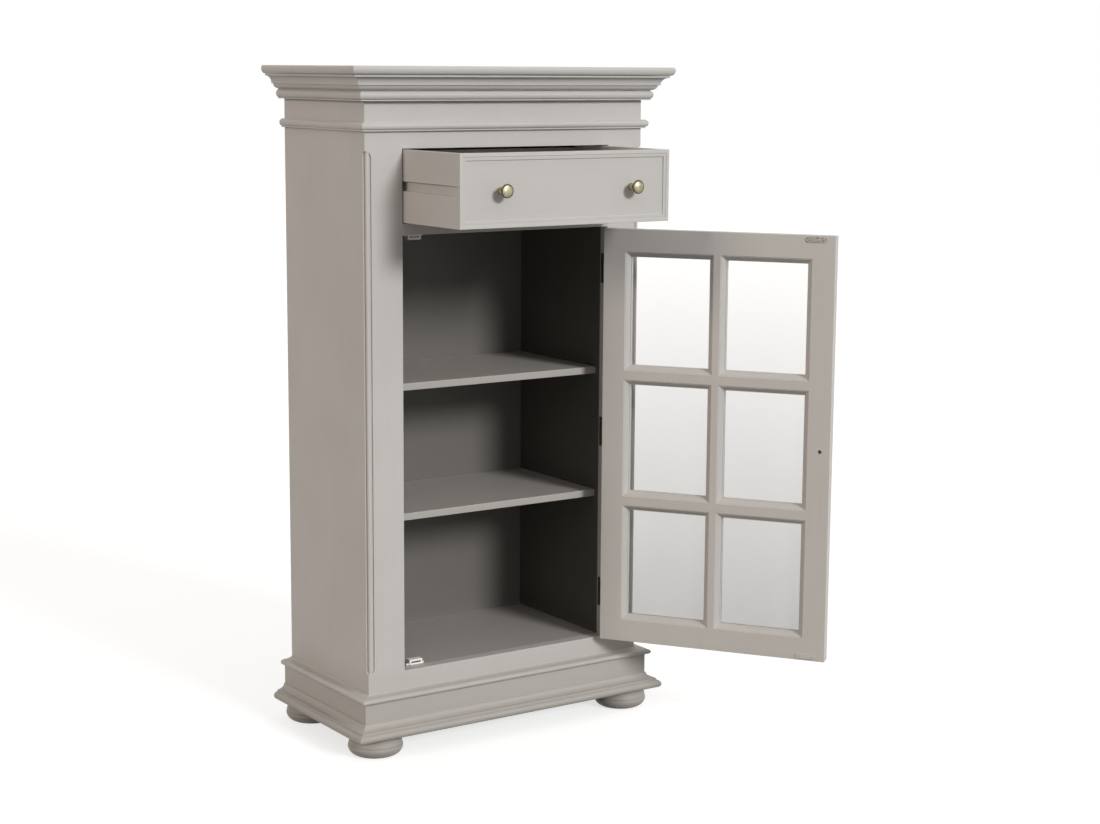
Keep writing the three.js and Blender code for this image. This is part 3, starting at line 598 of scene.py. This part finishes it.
boards = {
    "carcass": {  # the way that each board runs, and how much its edges are eased
        "inner_side_left": (2, 0.5), "inner_side_right": (2, 0.5), "back_panel": (2, 0.3),
        "floor_board": (0, 0.4), "shelf_lower": (0, 1.2), "shelf_upper": (0, 1.2), "dust_board": (0, 0.4),
        "drawer_runner_left": (1, 0.8), "drawer_runner_right": (1, 0.8),
    },
    "drawer": {
        "drawer_side_left": (1, 0.7), "drawer_side_right": (1, 0.7), "drawer_back": (0, 0.7),
        "drawer_bottom": (0, 0.3),
    },
}


def boardPiece(node, body, way, easing, material):
    # behind, the back panel has the outside's paint
    bm = bmesh.new()
    bm.from_mesh(frame["nodes"][node].data)
    bmesh.ops.transform(bm, matrix=carried[body].inverted(), verts=bm.verts[:])
    bmesh.ops.remove_doubles(bm, verts=bm.verts[:], dist=carcass["seam"] * mm)
    bmesh.ops.dissolve_limit(bm, angle_limit=math.radians(1), verts=bm.verts[:], edges=bm.edges[:])
    softenEdges(bm, easing, way, steps=3)
    rear = max(v.co.y for v in bm.verts)
    for made in bm.faces:
        behind = node == "back_panel" and all(v.co.y > rear - mm for v in made.verts)
        made.material_index = int(behind)
    finishPiece("wood_" + node, bm, body, [node], [material, paint], way, even=True)


for node, (way, easing) in boards["carcass"].items():
    # painted shade: shelves, inner sides and the back inside take darker copies of the paint, for the shade
    # inside the cupboard
    coat = shadedPaintShelf if way == 0 else shadedPaintLining if node.startswith("inner") else shadedPaintInside
    boardPiece(node, "carcass", way, easing, coat)
for node, (way, easing) in boards["drawer"].items():
    boardPiece(node, "drawer", way, easing, paint)
print("carcass ready")


# Drawer front: a raised lip round a sunk field, lapped over the sides

drawerFront = {
    "half": 252.5, "bottom": 1105.75, "top": 1252.25, "thick": 20, "lap": 9, "side": 15,
    "easing": 0.9,
    # how far in from the edge and how deep, from the lip's top down to the field
    "lip": [(6.6, 0), (6.9, 0.06), (7.2, 0.3), (7.5, 1.0), (7.8, 1.2), (8.2, 1.2), (8.6, 0.95), (9.2, 0.9),
            (13.2, 1.05), (13.8, 1.12), (14.2, 1.35), (14.7, 3.1), (15.1, 3.35), (15.6, 3.4)],
    "rubbedAndHighlit": range(1, 7),  # the rings, from the back, whose paint is rubbed and given a painted highlight
    "groove": (1115.45, 1121.05, 14.7), "bore": 2.3, "boreSpan": (1, 17.1),
}
drawerKnobs = {"x": 158, "y": 3.1, "z": 1179}


def drawerFrontPiece():
    d = drawerFront
    bm = bmesh.new()
    layer = arrisOf(bm)
    steps = [(0, d["thick"])] + easedSteps(d["easing"])[::-1] + d["lip"]
    rings = []
    for inset, y in steps:
        x, low, high = d["half"] - inset, d["bottom"] + inset, d["top"] - inset
        rings.append([place(px, y, pz) for px, pz in ((-x, low), (x, low), (x, high), (-x, high))])
    for n, made in enumerate(skinRings(bm, rings)):
        made[layer] = 1.0 if n // 4 in d["rubbedAndHighlit"] else 0.0
    inner = d["half"] - d["side"] - carcass["fit"]
    tools = []
    side, rear = d["half"] + overrun, d["thick"] + overrun
    low, high = d["bottom"] - overrun, d["top"] + overrun
    for way in (-1, 1):
        xs = sorted((way * inner, way * side))
        tools.append(tool(boxInto, (xs[0], d["lap"], low), (xs[1], rear, high)))
    low, high, y = d["groove"]
    tools.append(tool(boxInto, (-side, y, low), (side, rear, high)))
    near, far = d["boreSpan"]
    outline = [(0, near), (d["bore"], near), (d["bore"], far), (0, far)]
    for way in (-1, 1):
        spot = (way * drawerKnobs["x"], 0, drawerKnobs["z"])
        tools.append(tool(latheInto, outline, spot, (0, 1, 0), boreSides))
    paintedPiece("drawerFront", carve(bm, tools), "drawer", ["drawer_front"], 0, 30)


drawerFrontPiece()
print("drawer ready")


# Mouldings, mitred at the front corners

cornice = {
    "low": 14.5, "lowHeight": 2.3, "root": 12, "round": 19, "roundHeight": 17.2,
    "fillet": 14, "filletHeight": 1.5, "ovolo": 25.5, "ovoloHeight": 10,
    "corona": 29.5, "coronaHeight": 1.5, "cove": 44, "coveHeight": 15, "height": 52,
}
neckBead = {"fillet": 7, "filletHeight": 3.2, "bead": 12, "beadHeight": 13.8, "height": 18}
plinth = {
    "root": 36.5, "round": 45.2, "roundHeight": 18, "filletHeight": 3.5, "cove": 20, "coveHeight": 12.5,
    "face": 17.5, "beadRoot": 19.5, "bead": 27.5, "beadLow": 76, "beadHeight": 12,
    "capRoot": 1.5, "height": 92,
}
mouldingEdge = {"easing": 0.35, "shortest": 40}


def corniceOutline():
    c, fit = cornice, carcass["fit"]
    half = c["roundHeight"] / 2
    roundTop = c["lowHeight"] + c["roundHeight"]
    step = roundTop + c["filletHeight"]
    ovoloTop = step + c["ovoloHeight"]
    cove = ovoloTop + c["coronaHeight"]
    points = [(fit, 0), (c["low"], 0), (c["low"], c["lowHeight"])]
    points += arc((c["root"], c["lowHeight"] + half), (c["round"] - c["root"], half), -90, 90)
    points += [(c["fillet"], roundTop)]
    points += arc((c["fillet"], ovoloTop), (c["ovolo"] - c["fillet"], c["ovoloHeight"]), -90, 0)
    points += [(c["corona"], ovoloTop)]
    points += arc((c["cove"], cove), (c["cove"] - c["corona"], c["coveHeight"]), 180, 90)
    points += [(c["cove"], c["height"] - fit), (fit, c["height"] - fit)]
    return tidyOutline(points)


def neckOutline():
    n, fit = neckBead, carcass["fit"]
    half = n["beadHeight"] / 2
    points = [(fit, 0), (n["fillet"], 0)]
    points += arc((n["fillet"], n["filletHeight"] + half), (n["bead"] - n["fillet"], half), -90, 90)
    return tidyOutline(points + [(n["fillet"], n["height"]), (fit, n["height"])])


def plinthOutline():
    p, fit = plinth, carcass["fit"]
    half = p["roundHeight"] / 2
    cove = p["roundHeight"] + p["filletHeight"]
    coveTop = cove + p["coveHeight"]
    bead, beadHalf = p["beadLow"], p["beadHeight"] / 2
    rise = p["height"] - bead - p["beadHeight"]
    points = [(fit, fit)]
    points += arc((p["root"], half), (p["round"] - p["root"], half - fit), -90, 90)
    points += arc((p["root"], coveTop), (p["root"] - p["cove"], p["coveHeight"]), -90, -180)
    points += [(p["face"], coveTop), (p["face"], bead)]
    points += arc((p["beadRoot"], bead + beadHalf), (p["bead"] - p["beadRoot"], beadHalf), -90, 90)
    points += arc((p["beadRoot"], p["height"]), (p["beadRoot"] - p["capRoot"], rise), -90, -180)
    return tidyOutline(points + [(fit, p["height"])])


def mouldingRun(node, side, outline, bottom):
    half, depth, seam = carcass["halfWidth"], carcass["depth"], carcass["seam"]
    if side == "front":
        rings = [[place(end * (half + o - seam), -o, bottom + z) for o, z in outline] for end in (-1, 1)]
    else:
        way = 1 if side == "right" else -1
        rings = [[place(way * (half + o), y or -o, bottom + z) for o, z in outline] for y in (0, depth)]
    bm = bmesh.new()
    skinRings(bm, rings)
    bmesh.ops.recalc_face_normals(bm, faces=bm.faces[:])
    run = 0 if side == "front" else 1
    softenEdges(bm, mouldingEdge["easing"], run, mouldingEdge["shortest"])
    paintedPiece("moulding_" + node, bm, "carcass", [node], run, 24)


for name, outline, bottom in (
    ("cornice", corniceOutline(), carcass["cornice"]),
    ("neck_bead", neckOutline(), carcass["neck"]),
    ("plinth", plinthOutline(), carcass["foot"]),
):
    for side in ("front", "left", "right"):
        mouldingRun(f"{name}_{side}", side, outline, bottom)

nosing = {"root": 45.5, "reach": 52.5, "top": 49, "bulge": 0.62, "height": 17, "easing": 0.5}


def topBoard():
    n, half, depth = nosing, carcass["halfWidth"], carcass["depth"]
    bulge = n["height"] * n["bulge"]
    outline = arc((n["root"], bulge), (n["reach"] - n["root"], bulge), -90, 0)
    outline += arc((n["top"], bulge), (n["reach"] - n["top"], n["height"] - bulge), 0, 90)
    rings = []
    for o, z in tidyOutline(outline):
        corners = ((-half - o, -o), (half + o, -o), (half + o, depth), (-half - o, depth))
        rings.append([place(x, y, carcass["top"] + z) for x, y in corners])
    bm = bmesh.new()
    skinRings(bm, rings)
    softenEdges(bm, n["easing"], 0, shortest=100, angle=80)
    paintedPiece("topBoard", bm, "carcass", ["top_board"], 0, 30)


topBoard()
print("mouldings ready")


# Turned feet

foot = {
    "radius": 58, "height": 42, "x": 315, "front": 18, "rear": 298, "sides": 96,
    # shares of the radius and the height, below and above the scored line
    "lower": [(0.6, 0.0), (0.68, 0.006), (0.79, 0.05), (0.9, 0.15), (0.965, 0.28), (0.995, 0.4),
              (0.99, 0.5), (0.972, 0.535)],
    "upper": [(0.962, 0.55), (0.972, 0.575), (0.965, 0.64), (0.935, 0.76), (0.875, 0.87), (0.79, 0.955),
              (0.75, 1.0)],
    "curveSteps": 4,
}


def footPiece(row, side):
    f = foot
    shares = curved(f["lower"], f["curveSteps"]) + curved(f["upper"], f["curveSteps"])
    outline = [(0, 0)] + [(r * f["radius"], z * f["height"]) for r, z in shares] + [(0, f["height"])]
    bm = bmesh.new()
    x = f["x"] if side == "right" else -f["x"]
    latheInto(bm, outline, (x, f[row], 0), (0, 0, 1), f["sides"])
    node = f"bun_foot_{row}_{side}"
    paintedPiece("turned_" + node, bm, "carcass", [node], 2, 35, even=False)


for row in ("front", "rear"):
    for side in ("left", "right"):
        footPiece(row, side)
print("feet ready")


# Door: flat boards and six lights with a moulded edge all round each

door = {
    "half": 252.5, "bottom": 173.5, "top": 1078.5, "thick": 24, "flat": 49, "upright": 16, "cross": 21,
    # how far the moulding reaches from the flat, and its depth from the outer face
    "edge": [(5, 0), (6.2, 0.25), (9.2, 1.7), (10.8, 3.1), (11, 3.9), (11, 12.3), (9.3, 12.3), (8.9, 12.6),
             (8.9, 13.5), (7.6, 15.6), (5.4, 18.4), (3.4, 20.7), (1.8, 22.3), (1.5, 22.6), (0, 22.6)],
    "easing": 0.8,
}
knobScrew = {
    "x": -230.5, "z": 626, "hole": 4.2, "deep": 6, "head": 3.8, "shank": 2, "boreFit": 0.4, "inside": 7,
    "dome": [(1, 1.2), (0.82, 2.2), (0.42, 2.8), (0, 3)],  # share of the head's radius, height over its seat
    "cross": 0.84, "crossTurn": 0.4, "sides": 32,
}


def doorLeaf():
    d = door
    light = (2 * d["half"] - 2 * d["flat"] - d["upright"]) / 2
    tall = (d["top"] - d["bottom"] - 2 * d["flat"] - 2 * d["cross"]) / 3
    xs = [-d["half"]]
    for width in (d["flat"], light, d["upright"], light, d["flat"]):
        xs.append(xs[-1] + width)
    zs = [d["bottom"]]
    for height in (d["flat"], tall, d["cross"], tall, d["cross"], tall, d["flat"]):
        zs.append(zs[-1] + height)
    bm = bmesh.new()

    def spot(x, y, z):
        return bm.verts.new(place(x, y, z))

    outer = {(i, k): spot(x, 0, z) for i, x in enumerate(xs) for k, z in enumerate(zs)}
    inner = {(i, k): spot(x, d["thick"], z) for i, x in enumerate(xs) for k, z in enumerate(zs)}
    for i in range(len(xs) - 1):
        for k in range(len(zs) - 1):
            cell = [(i, k), (i + 1, k), (i + 1, k + 1), (i, k + 1)]  # open where a light is
            if i in (1, 3) and k in (1, 3, 5):
                rings = [[outer[c] for c in cell]]
                for e, y in d["edge"]:
                    rings.append([spot(x, y, z) for x, z in (
                        (xs[i] + e, zs[k] + e), (xs[i + 1] - e, zs[k] + e),
                        (xs[i + 1] - e, zs[k + 1] - e), (xs[i] + e, zs[k + 1] - e))])
                rings.append([inner[c] for c in cell])
                for a, b in zip(rings, rings[1:]):
                    for n in range(4):
                        bm.faces.new((a[n], a[(n + 1) % 4], b[(n + 1) % 4], b[n]))
            else:
                bm.faces.new([outer[c] for c in cell])
                bm.faces.new([inner[c] for c in cell[::-1]])
    lastX, lastZ = len(xs) - 1, len(zs) - 1
    rim = [(i, 0) for i in range(lastX)] + [(lastX, k) for k in range(lastZ)]
    rim += [(i, lastZ) for i in range(lastX, 0, -1)] + [(0, k) for k in range(lastZ, 0, -1)]
    for a, b in zip(rim, rim[1:] + rim[:1]):
        bm.faces.new((outer[a], outer[b], inner[b], inner[a]))
    bmesh.ops.recalc_face_normals(bm, faces=bm.faces[:])
    softenEdges(bm, d["easing"], shortest=12, angle=70, steps=3)
    tools = hingeRecesses(hinge["door"] - hinge["thick"] - carcass["fit"], hinge["door"] + overrun)
    s = knobScrew
    deep, bore, rear = d["thick"] - s["deep"], s["shank"] + s["boreFit"], d["thick"] + overrun
    for outline in (
        [(0, deep), (s["hole"], deep), (s["hole"], rear), (0, rear)],
        [(0, -overrun), (bore, -overrun), (bore, deep + overrun), (0, deep + overrun)],
    ):
        tools.append(tool(latheInto, outline, (s["x"], 0, s["z"]), (0, 1, 0), boreSides))
    paintedPiece("doorLeaf", carve(bm, tools), "door", [
        "door_stile_free", "door_stile_hinged", "door_rail_top", "door_rail_bottom", "glazing_bars",
    ], 2, 26)


doorLeaf()

# Glass keeps the frame's own panes
for row in ("bottom", "middle", "top"):
    for column in ("left", "right"):
        pane = frame["nodes"][f"glass_{row}_{column}"]
        pane.data.materials.clear()
        pane.data.materials.append(glass)
print("door ready")


# Turned knobs: a small rose, a beaded neck, and a low dome set in a rolled rim

knob = {
    "radius": 14, "height": 30, "sides": 72, "curveSteps": 4, "stud": 12, "studRadius": 2,
    # shares of the radius and the height
    "rose": [(0.455, 0.0), (0.465, 0.02), (0.46, 0.05), (0.42, 0.075), (0.35, 0.095)],
    "bead": [(0.31, 0.105), (0.35, 0.12), (0.375, 0.15), (0.36, 0.18), (0.31, 0.2)],
    "neck": [(0.275, 0.215), (0.255, 0.26), (0.255, 0.33), (0.285, 0.42), (0.38, 0.5), (0.56, 0.59),
             (0.77, 0.675), (0.91, 0.745)],
    "rim": [(0.955, 0.775), (0.99, 0.8), (1.0, 0.83), (0.993, 0.858), (0.965, 0.878), (0.93, 0.882)],
    "quirk": [(0.905, 0.874), (0.885, 0.866), (0.865, 0.872)],
    "dome": [(0.85, 0.895), (0.8, 0.915), (0.66, 0.948), (0.45, 0.976), (0.22, 0.994), (0.08, 0.999)],
    # painted shade: rose and neck take the shaded stem brass, rim and quirk the shaded rim brass
    "metals": {"rose": 1, "bead": 0, "neck": 1, "rim": 2, "quirk": 2, "dome": 0},
}


def knobPiece(name, body, node, centre, stud):
    k = knob
    shares, bands = [], [0, 0, 0]
    for part, metal in k["metals"].items():
        line = curved(k[part], k["curveSteps"])
        shares += line
        bands += [metal] * len(line)
    outline = [(0, -stud), (k["studRadius"], -stud), (k["studRadius"], 0)]
    outline += [(r * k["radius"], z * k["height"]) for r, z in shares] + [(0, k["height"])]
    bm = bmesh.new()
    latheInto(bm, outline, centre, (0, -1, 0), k["sides"], bands)
    finishPiece(name, bm, body, [node], [agedBrass, brassStem, brassGroove], 1, 34)


for name, way in (("left", -1), ("right", 1)):
    spot = (way * drawerKnobs["x"], drawerKnobs["y"], drawerKnobs["z"])
    knobPiece(f"knob_{name}", "drawer", f"drawer_knob_{name}", spot, knob["stud"])
spot = (knobScrew["x"], -carcass["fit"], knobScrew["z"])
knobPiece("knob_door", "door", "door_knob", spot, knobScrew["inside"])


# Screws with a crossed slot painted as dark bars of shade, joined into one piece for each fitting

screw = {
    "root": 0.6, "rim": 0.2, "dome": (15, 32, 50, 70), "sides": 28,  # the rim's share of the head
    "slotLow": 0.5, "slotProud": 0.06, "slotLong": 0.52, "slotWide": 0.11,
}


def screwInto(bm, centre, axis, radius, proud):
    s = screw
    outline = [(0, -s["root"]), (radius, -s["root"]), (radius, proud * s["rim"])]
    for t in s["dome"]:
        t = math.radians(t)
        outline.append((radius * math.cos(t), proud * (s["rim"] + (1 - s["rim"]) * math.sin(t))))
    latheInto(bm, outline + [(0, proud)], centre, axis, s["sides"])


def slotShadeInto(bm, centre, axis, radius, proud, turn):
    # painted shade: two dark bars laid in the head stand in for the shade in its crossed slot
    s, axis = screw, Vector(axis)
    aside = axis.orthogonal().normalized()
    aside.rotate(Matrix.Rotation(turn, 3, axis))
    across = axis.cross(aside)
    for long, short in ((aside, across), (across, aside)):
        long, short = long * radius * s["slotLong"], short * radius * s["slotWide"]
        rings = []
        for up in (proud * s["slotLow"], proud + s["slotProud"]):
            rings.append([place(*(Vector(centre) + axis * up + long * a + short * b))
                          for a, b in ((-1, -1), (1, -1), (1, 1), (-1, 1))])
        for made in skinRings(bm, rings):
            made.material_index = 1


def screwsPiece(name, body, spots, axis, radius, proud, metal):
    chance = random.Random(name)
    bm = bmesh.new()
    for spot in spots:
        screwInto(bm, spot, axis, radius, proud)
        slotShadeInto(bm, spot, axis, radius, proud, chance.uniform(0, math.pi))
    finishPiece(name, bm, body, [], [metal, magnetBlackAndSlotShade], 2, 40)


# Hinges: two leaves with their knuckles round one pin

def hingeLeaf(level, side):
    h = hinge
    z = h["heights"][level]
    body = "carcass" if side > 0 else "door"
    edge = h["post"] if side > 0 else h["door"]
    low, high = sorted((edge, edge + side * h["thick"]))
    pinX, pinY = h["pin"]
    knuckle = h["height"] / 3
    bm = bmesh.new()
    boxInto(bm, (low, 0, z - h["height"] / 2), (high, h["width"], z + h["height"] / 2))
    softenEdges(bm, h["easing"], shortest=10)
    for n in ((-1, 1) if side > 0 else (0,)):
        base = z + n * knuckle - knuckle / 2 + (h["gap"] if n == 1 else 0)
        top = z + n * knuckle + knuckle / 2 - (h["gap"] if n == -1 else 0)
        boxInto(bm, (low, pinY, base), (high, h["webIn"], top))
        r, ease = h["barrel"], h["easing"]
        outline = [(0, base), (r - ease, base), (r, base + ease), (r, top - ease), (r - ease, top), (0, top)]
        latheInto(bm, outline, (pinX, pinY, 0), (0, 0, 1), h["barrelSides"])
    node = f"hinge_leaf_{'fixed' if side > 0 else 'door'}_{level}"
    finishPiece("brass_" + node, bm, body, [node], [hingeBrass], 2, 40)
    spots = [(edge, h["screwIn"] + (h["stagger"] if n else -h["stagger"]), z + n) for n in h["screws"]]
    screwsPiece(f"screws_{node}", body, spots, (-side, 0, 0), h["screw"], h["screwProud"],
                hingeBrass)


for level in hinge["heights"]:
    hingeLeaf(level, 1)
    hingeLeaf(level, -1)


# The screw that holds the door's knob, deep in its hole

def knobScrewPiece():
    s = knobScrew
    floor = door["thick"] - s["deep"] + carcass["fit"]
    outline = [(0, s["inside"]), (s["shank"], s["inside"]), (s["shank"], floor), (s["head"], floor)]
    outline += [(s["head"] * r, floor + up) for r, up in s["dome"]]
    bm = bmesh.new()
    latheInto(bm, outline, (s["x"], 0, s["z"]), (0, 1, 0), s["sides"])
    top = floor + s["dome"][-1][1]
    slotShadeInto(bm, (s["x"], top - 1, s["z"]), (0, 1, 0), s["head"] * s["cross"], 1, s["crossTurn"])
    finishPiece("knobScrew", bm, "door", ["door_knob_screw"], [darkSteel, magnetBlackAndSlotShade], 1, 40)


knobScrewPiece()
print("knobs and hinges ready")


# Magnetic catches: a white case on two lugs, two pole plates round a magnet, and a screw in each lug

catch = {
    "x": -211.5, "front": 26, "width": 31, "depth": 13, "height": 12, "rise": 0.6,
    "lug": 44, "lugThick": 4, "lugDepth": 8, "lugRound": 0.8, "lugBite": 3, "clear": 0.1,
    "slot": 23, "slotHeight": 3.8, "slotDepth": 3, "plate": 0.9, "plateSink": 0.25, "magnetSink": 1.1,
    "screwOut": 18.3, "screw": 2.4, "screwProud": 0.9, "round": 1.3,
}


def catchPiece(name, seat, up):
    c, fit = catch, carcass["fit"]
    x, front = c["x"], c["front"]
    back = front + c["depth"]

    def span(low, high):
        return sorted((seat + up * low, seat + up * high))

    bm = bmesh.new()
    low, high = span(c["rise"], c["height"])
    boxInto(bm, (x - c["width"] / 2, front, low), (x + c["width"] / 2, back, high))
    softenEdges(bm, c["round"], shortest=5, steps=4)
    middle = seat + up * (c["rise"] + c["height"]) / 2
    slotLow, slotHigh = middle - c["slotHeight"] / 2, middle + c["slotHeight"] / 2
    slotLeft, slotRight = x - c["slot"] / 2, x + c["slot"] / 2
    slotRear = front + c["slotDepth"]
    bm = carve(bm, [tool(boxInto, (slotLeft, front - overrun, slotLow), (slotRight, slotRear, slotHigh))])
    low, high = span(fit, c["lugThick"])
    half = c["lugDepth"] / 2
    lugFront = front + (c["depth"] - c["lugDepth"]) / 2
    for side in (-1, 1):
        inner = x + side * (c["width"] / 2 - c["lugBite"])
        tip = x + side * (c["lug"] / 2 - half)
        outline = [(inner, lugFront)] + arc((tip, lugFront + half), (side * half, half), -90, 90)
        outline.append((inner, lugFront + c["lugDepth"]))
        lug = bmesh.new()
        skinRings(lug, [[place(px, py, z) for px, py in outline] for z in (low, high)])
        softenEdges(lug, c["lugRound"], shortest=0.5, angle=60, steps=3)
        merge(bm, lug)
    node = f"magnetic_catch_{name}"
    finishPiece(f"case_{node}", bm, "carcass", [node], [catchWhite], 0, 40)
    bm = bmesh.new()
    clear, plate = c["clear"], c["plate"]
    left, right, end = slotLeft + 2 * clear, slotRight - 2 * clear, slotRear - clear / 2
    boxInto(bm, (left, front + c["magnetSink"], slotLow + plate), (right, end, slotHigh - plate), 1)
    for low in (slotLow + clear, slotHigh - clear - plate):
        boxInto(bm, (left, front + c["plateSink"], low), (right, end, low + plate - clear / 2))
    finishPiece(f"poles_{node}", bm, "carcass", [], [wornSteel, magnetBlackAndSlotShade], 0, 40)
    spots = [(x + n * c["screwOut"], front + c["depth"] / 2, seat + up * c["lugThick"]) for n in (-1, 1)]
    screwsPiece(f"screws_{node}", "carcass", spots, (0, 0, up), c["screw"], c["screwProud"],
                plainSteel)


catchPiece("bottom", carcass["sill"], 1)
catchPiece("top", carcass["doorHead"], -1)

strike = {
    "x": catch["x"], "width": 44, "height": 11, "thick": 1.2, "inset": 9, "easing": 0.35, "endSteps": 16,
    "screws": 13, "screw": 2.9, "proud": 0.3,
}


def strikePiece(name, z, metal, heads):
    s = strike
    low = door["thick"] + carcass["fit"]
    r, ease = s["height"] / 2, s["easing"]
    reach = s["width"] / 2 - r

    def ring(radius, y):
        outline = arc((s["x"] + reach, z), (radius, radius), -90, 90, s["endSteps"])
        outline += arc((s["x"] - reach, z), (radius, radius), 90, 270, s["endSteps"])
        return [place(px, y, pz) for px, pz in outline]

    bm = bmesh.new()
    skinRings(bm, [ring(r, low), ring(r, low + s["thick"] - ease), ring(r - ease, low + s["thick"])])
    node = f"strike_plate_{name}"
    finishPiece("plate_" + node, bm, "door", [node], [metal], 0, 30)
    spots = [(s["x"] + n * s["screws"], low + s["thick"], z) for n in (-1, 1)]
    screwsPiece(f"screws_{node}", "door", spots, (0, 1, 0), s["screw"], s["proud"], heads)


strikePiece("bottom", door["bottom"] + strike["inset"], paint, plainSteel)
strikePiece("top", door["top"] - strike["inset"], wornSteel, wornSteel)
print("catches ready")


# Studio: a white floor, soft light all round, a broad lamp in front and a weaker one at the left

studio = {
    "floorSize": 40, "floor": linear(122, 122, 121), "floorSeen": linear(176, 176, 175), "lift": 0.7,
    "tint": (1.0, 0.97, 0.93, 1), "dim": 0.06, "bright": 1.3, "white": (1, 1, 1, 1),
    "sky": {  # where the light of each side begins and where it is full, from -1 to 1, and its share
        "left": (-0.6, -0.95, 0.08), "right": (0.4, 0.95, 0.75), "rear": (0.2, 0.9, 0.75),
        "above": (0.5, 0.95, 0.52),
    },
    "aboveTilt": (0.8, 0.6),  # what is called above leans forward
    "lamps": {  # compass bearing from the front and height in degrees, how broad, strength, colour
        "front": (10, 23, 14, 2.13, (1.0, 1.0, 1.0)),
        "left": (-92, 16, 12, 1.02, (1.0, 0.86, 0.74)),
    },
}


def studioFloor():
    size = studio["floorSize"] / 2
    mesh = bpy.data.meshes.new("studioFloor")
    corners = ((-1, -1), (1, -1), (1, 1), (-1, 1))
    mesh.from_pydata([(x * size, y * size, 0) for x, y in corners], [], [(0, 1, 2, 3)])
    g = Graph(bpy.data.materials.new("studioFloor"))
    bounce = g.node("BsdfDiffuse", {}, {"Color": studio["floor"]})
    lit = g.node("BsdfDiffuse", {}, {"Color": studio["floorSeen"]})
    glow = g.node("Emission", {}, {"Color": studio["white"], "Strength": studio["lift"]})
    shown = g.node("AddShader", {}, {0: lit, 1: glow})
    mesh.materials.append(g.finish(g.node("MixShader", {}, {0: g.seenDirectly(), 1: bounce, 2: shown})))
    floor = newObject("studioFloor", mesh)


def studioSky():
    s = studio
    world = bpy.data.worlds.new("studioSky")
    bpy.context.scene.world = world
    g = Graph(world)
    way = g.node("TexCoord", {}, {}, "Generated")
    x, y, z = g.part(way, "X"), g.part(way, "Y"), g.part(way, "Z")
    upward, backward = s["aboveTilt"]
    facing = {"left": x, "right": x, "rear": y, "above": z * upward - y * backward}
    level = sum(g.between(facing[side], begins, full) * share
                for side, (begins, full, share) in s["sky"].items())
    dim = g.node("Background", {}, {"Color": s["tint"], "Strength": s["dim"]})
    bright = g.node("Background", {}, {"Color": s["tint"], "Strength": s["bright"]})
    white = g.node("Background", {}, {"Color": s["white"], "Strength": 1.0})
    soft = g.node("MixShader", {}, {0: level, 1: dim, 2: bright})
    g.finish(g.node("MixShader", {}, {0: g.seenDirectly(), 1: soft, 2: white}), "OutputWorld")


def studioLamp(name):
    bearing, height, broad, strength, colour = studio["lamps"][name]
    lamp = bpy.data.lights.new(name + "Lamp", "SUN")
    lamp.energy = strength
    lamp.color = colour
    lamp.angle = math.radians(broad)
    made = newObject(name + "Lamp", lamp)
    side, up = math.radians(bearing), math.radians(height)
    towards = Vector((math.sin(side) * math.cos(up), -math.cos(side) * math.cos(up), math.sin(up)))
    made.rotation_euler = towards.to_track_quat("Z", "Y").to_euler()


# The photograph's camera, worked out from the cabinet's straight lines: millimetres and radians
view = {
    "spot": (-2382, -3672, 1417), "yaw": 0.5959, "pitch": -0.1629, "roll": 0.0066,
    "focalPixels": 2097.3, "imageWidth": 1100, "sensor": 36, "far": 100,
}


def photoCamera():
    v = view
    data = bpy.data.cameras.new("photoCamera")
    data.sensor_width = v["sensor"]
    data.lens = v["focalPixels"] / v["imageWidth"] * v["sensor"]
    data.clip_end = v["far"]
    camera = newObject("photoCamera", data)
    yaw, pitch, roll = v["yaw"], v["pitch"], v["roll"]
    ahead = Vector((math.sin(yaw) * math.cos(pitch), math.cos(yaw) * math.cos(pitch), math.sin(pitch)))
    right = Vector((math.cos(yaw), -math.sin(yaw), 0))
    up = right.cross(ahead)
    tilted = right * math.cos(roll) + up * math.sin(roll)
    upright = up * math.cos(roll) - right * math.sin(roll)
    turn = Matrix((tilted, upright, -ahead)).transposed().to_4x4()
    camera.matrix_world = Matrix.Translation(place(*v["spot"])) @ turn
    bpy.context.scene.camera = camera


studioFloor()
studioSky()
for name in studio["lamps"]:
    studioLamp(name)
photoCamera()
bpy.context.scene.view_settings.view_transform = "Standard"
print("studio ready")
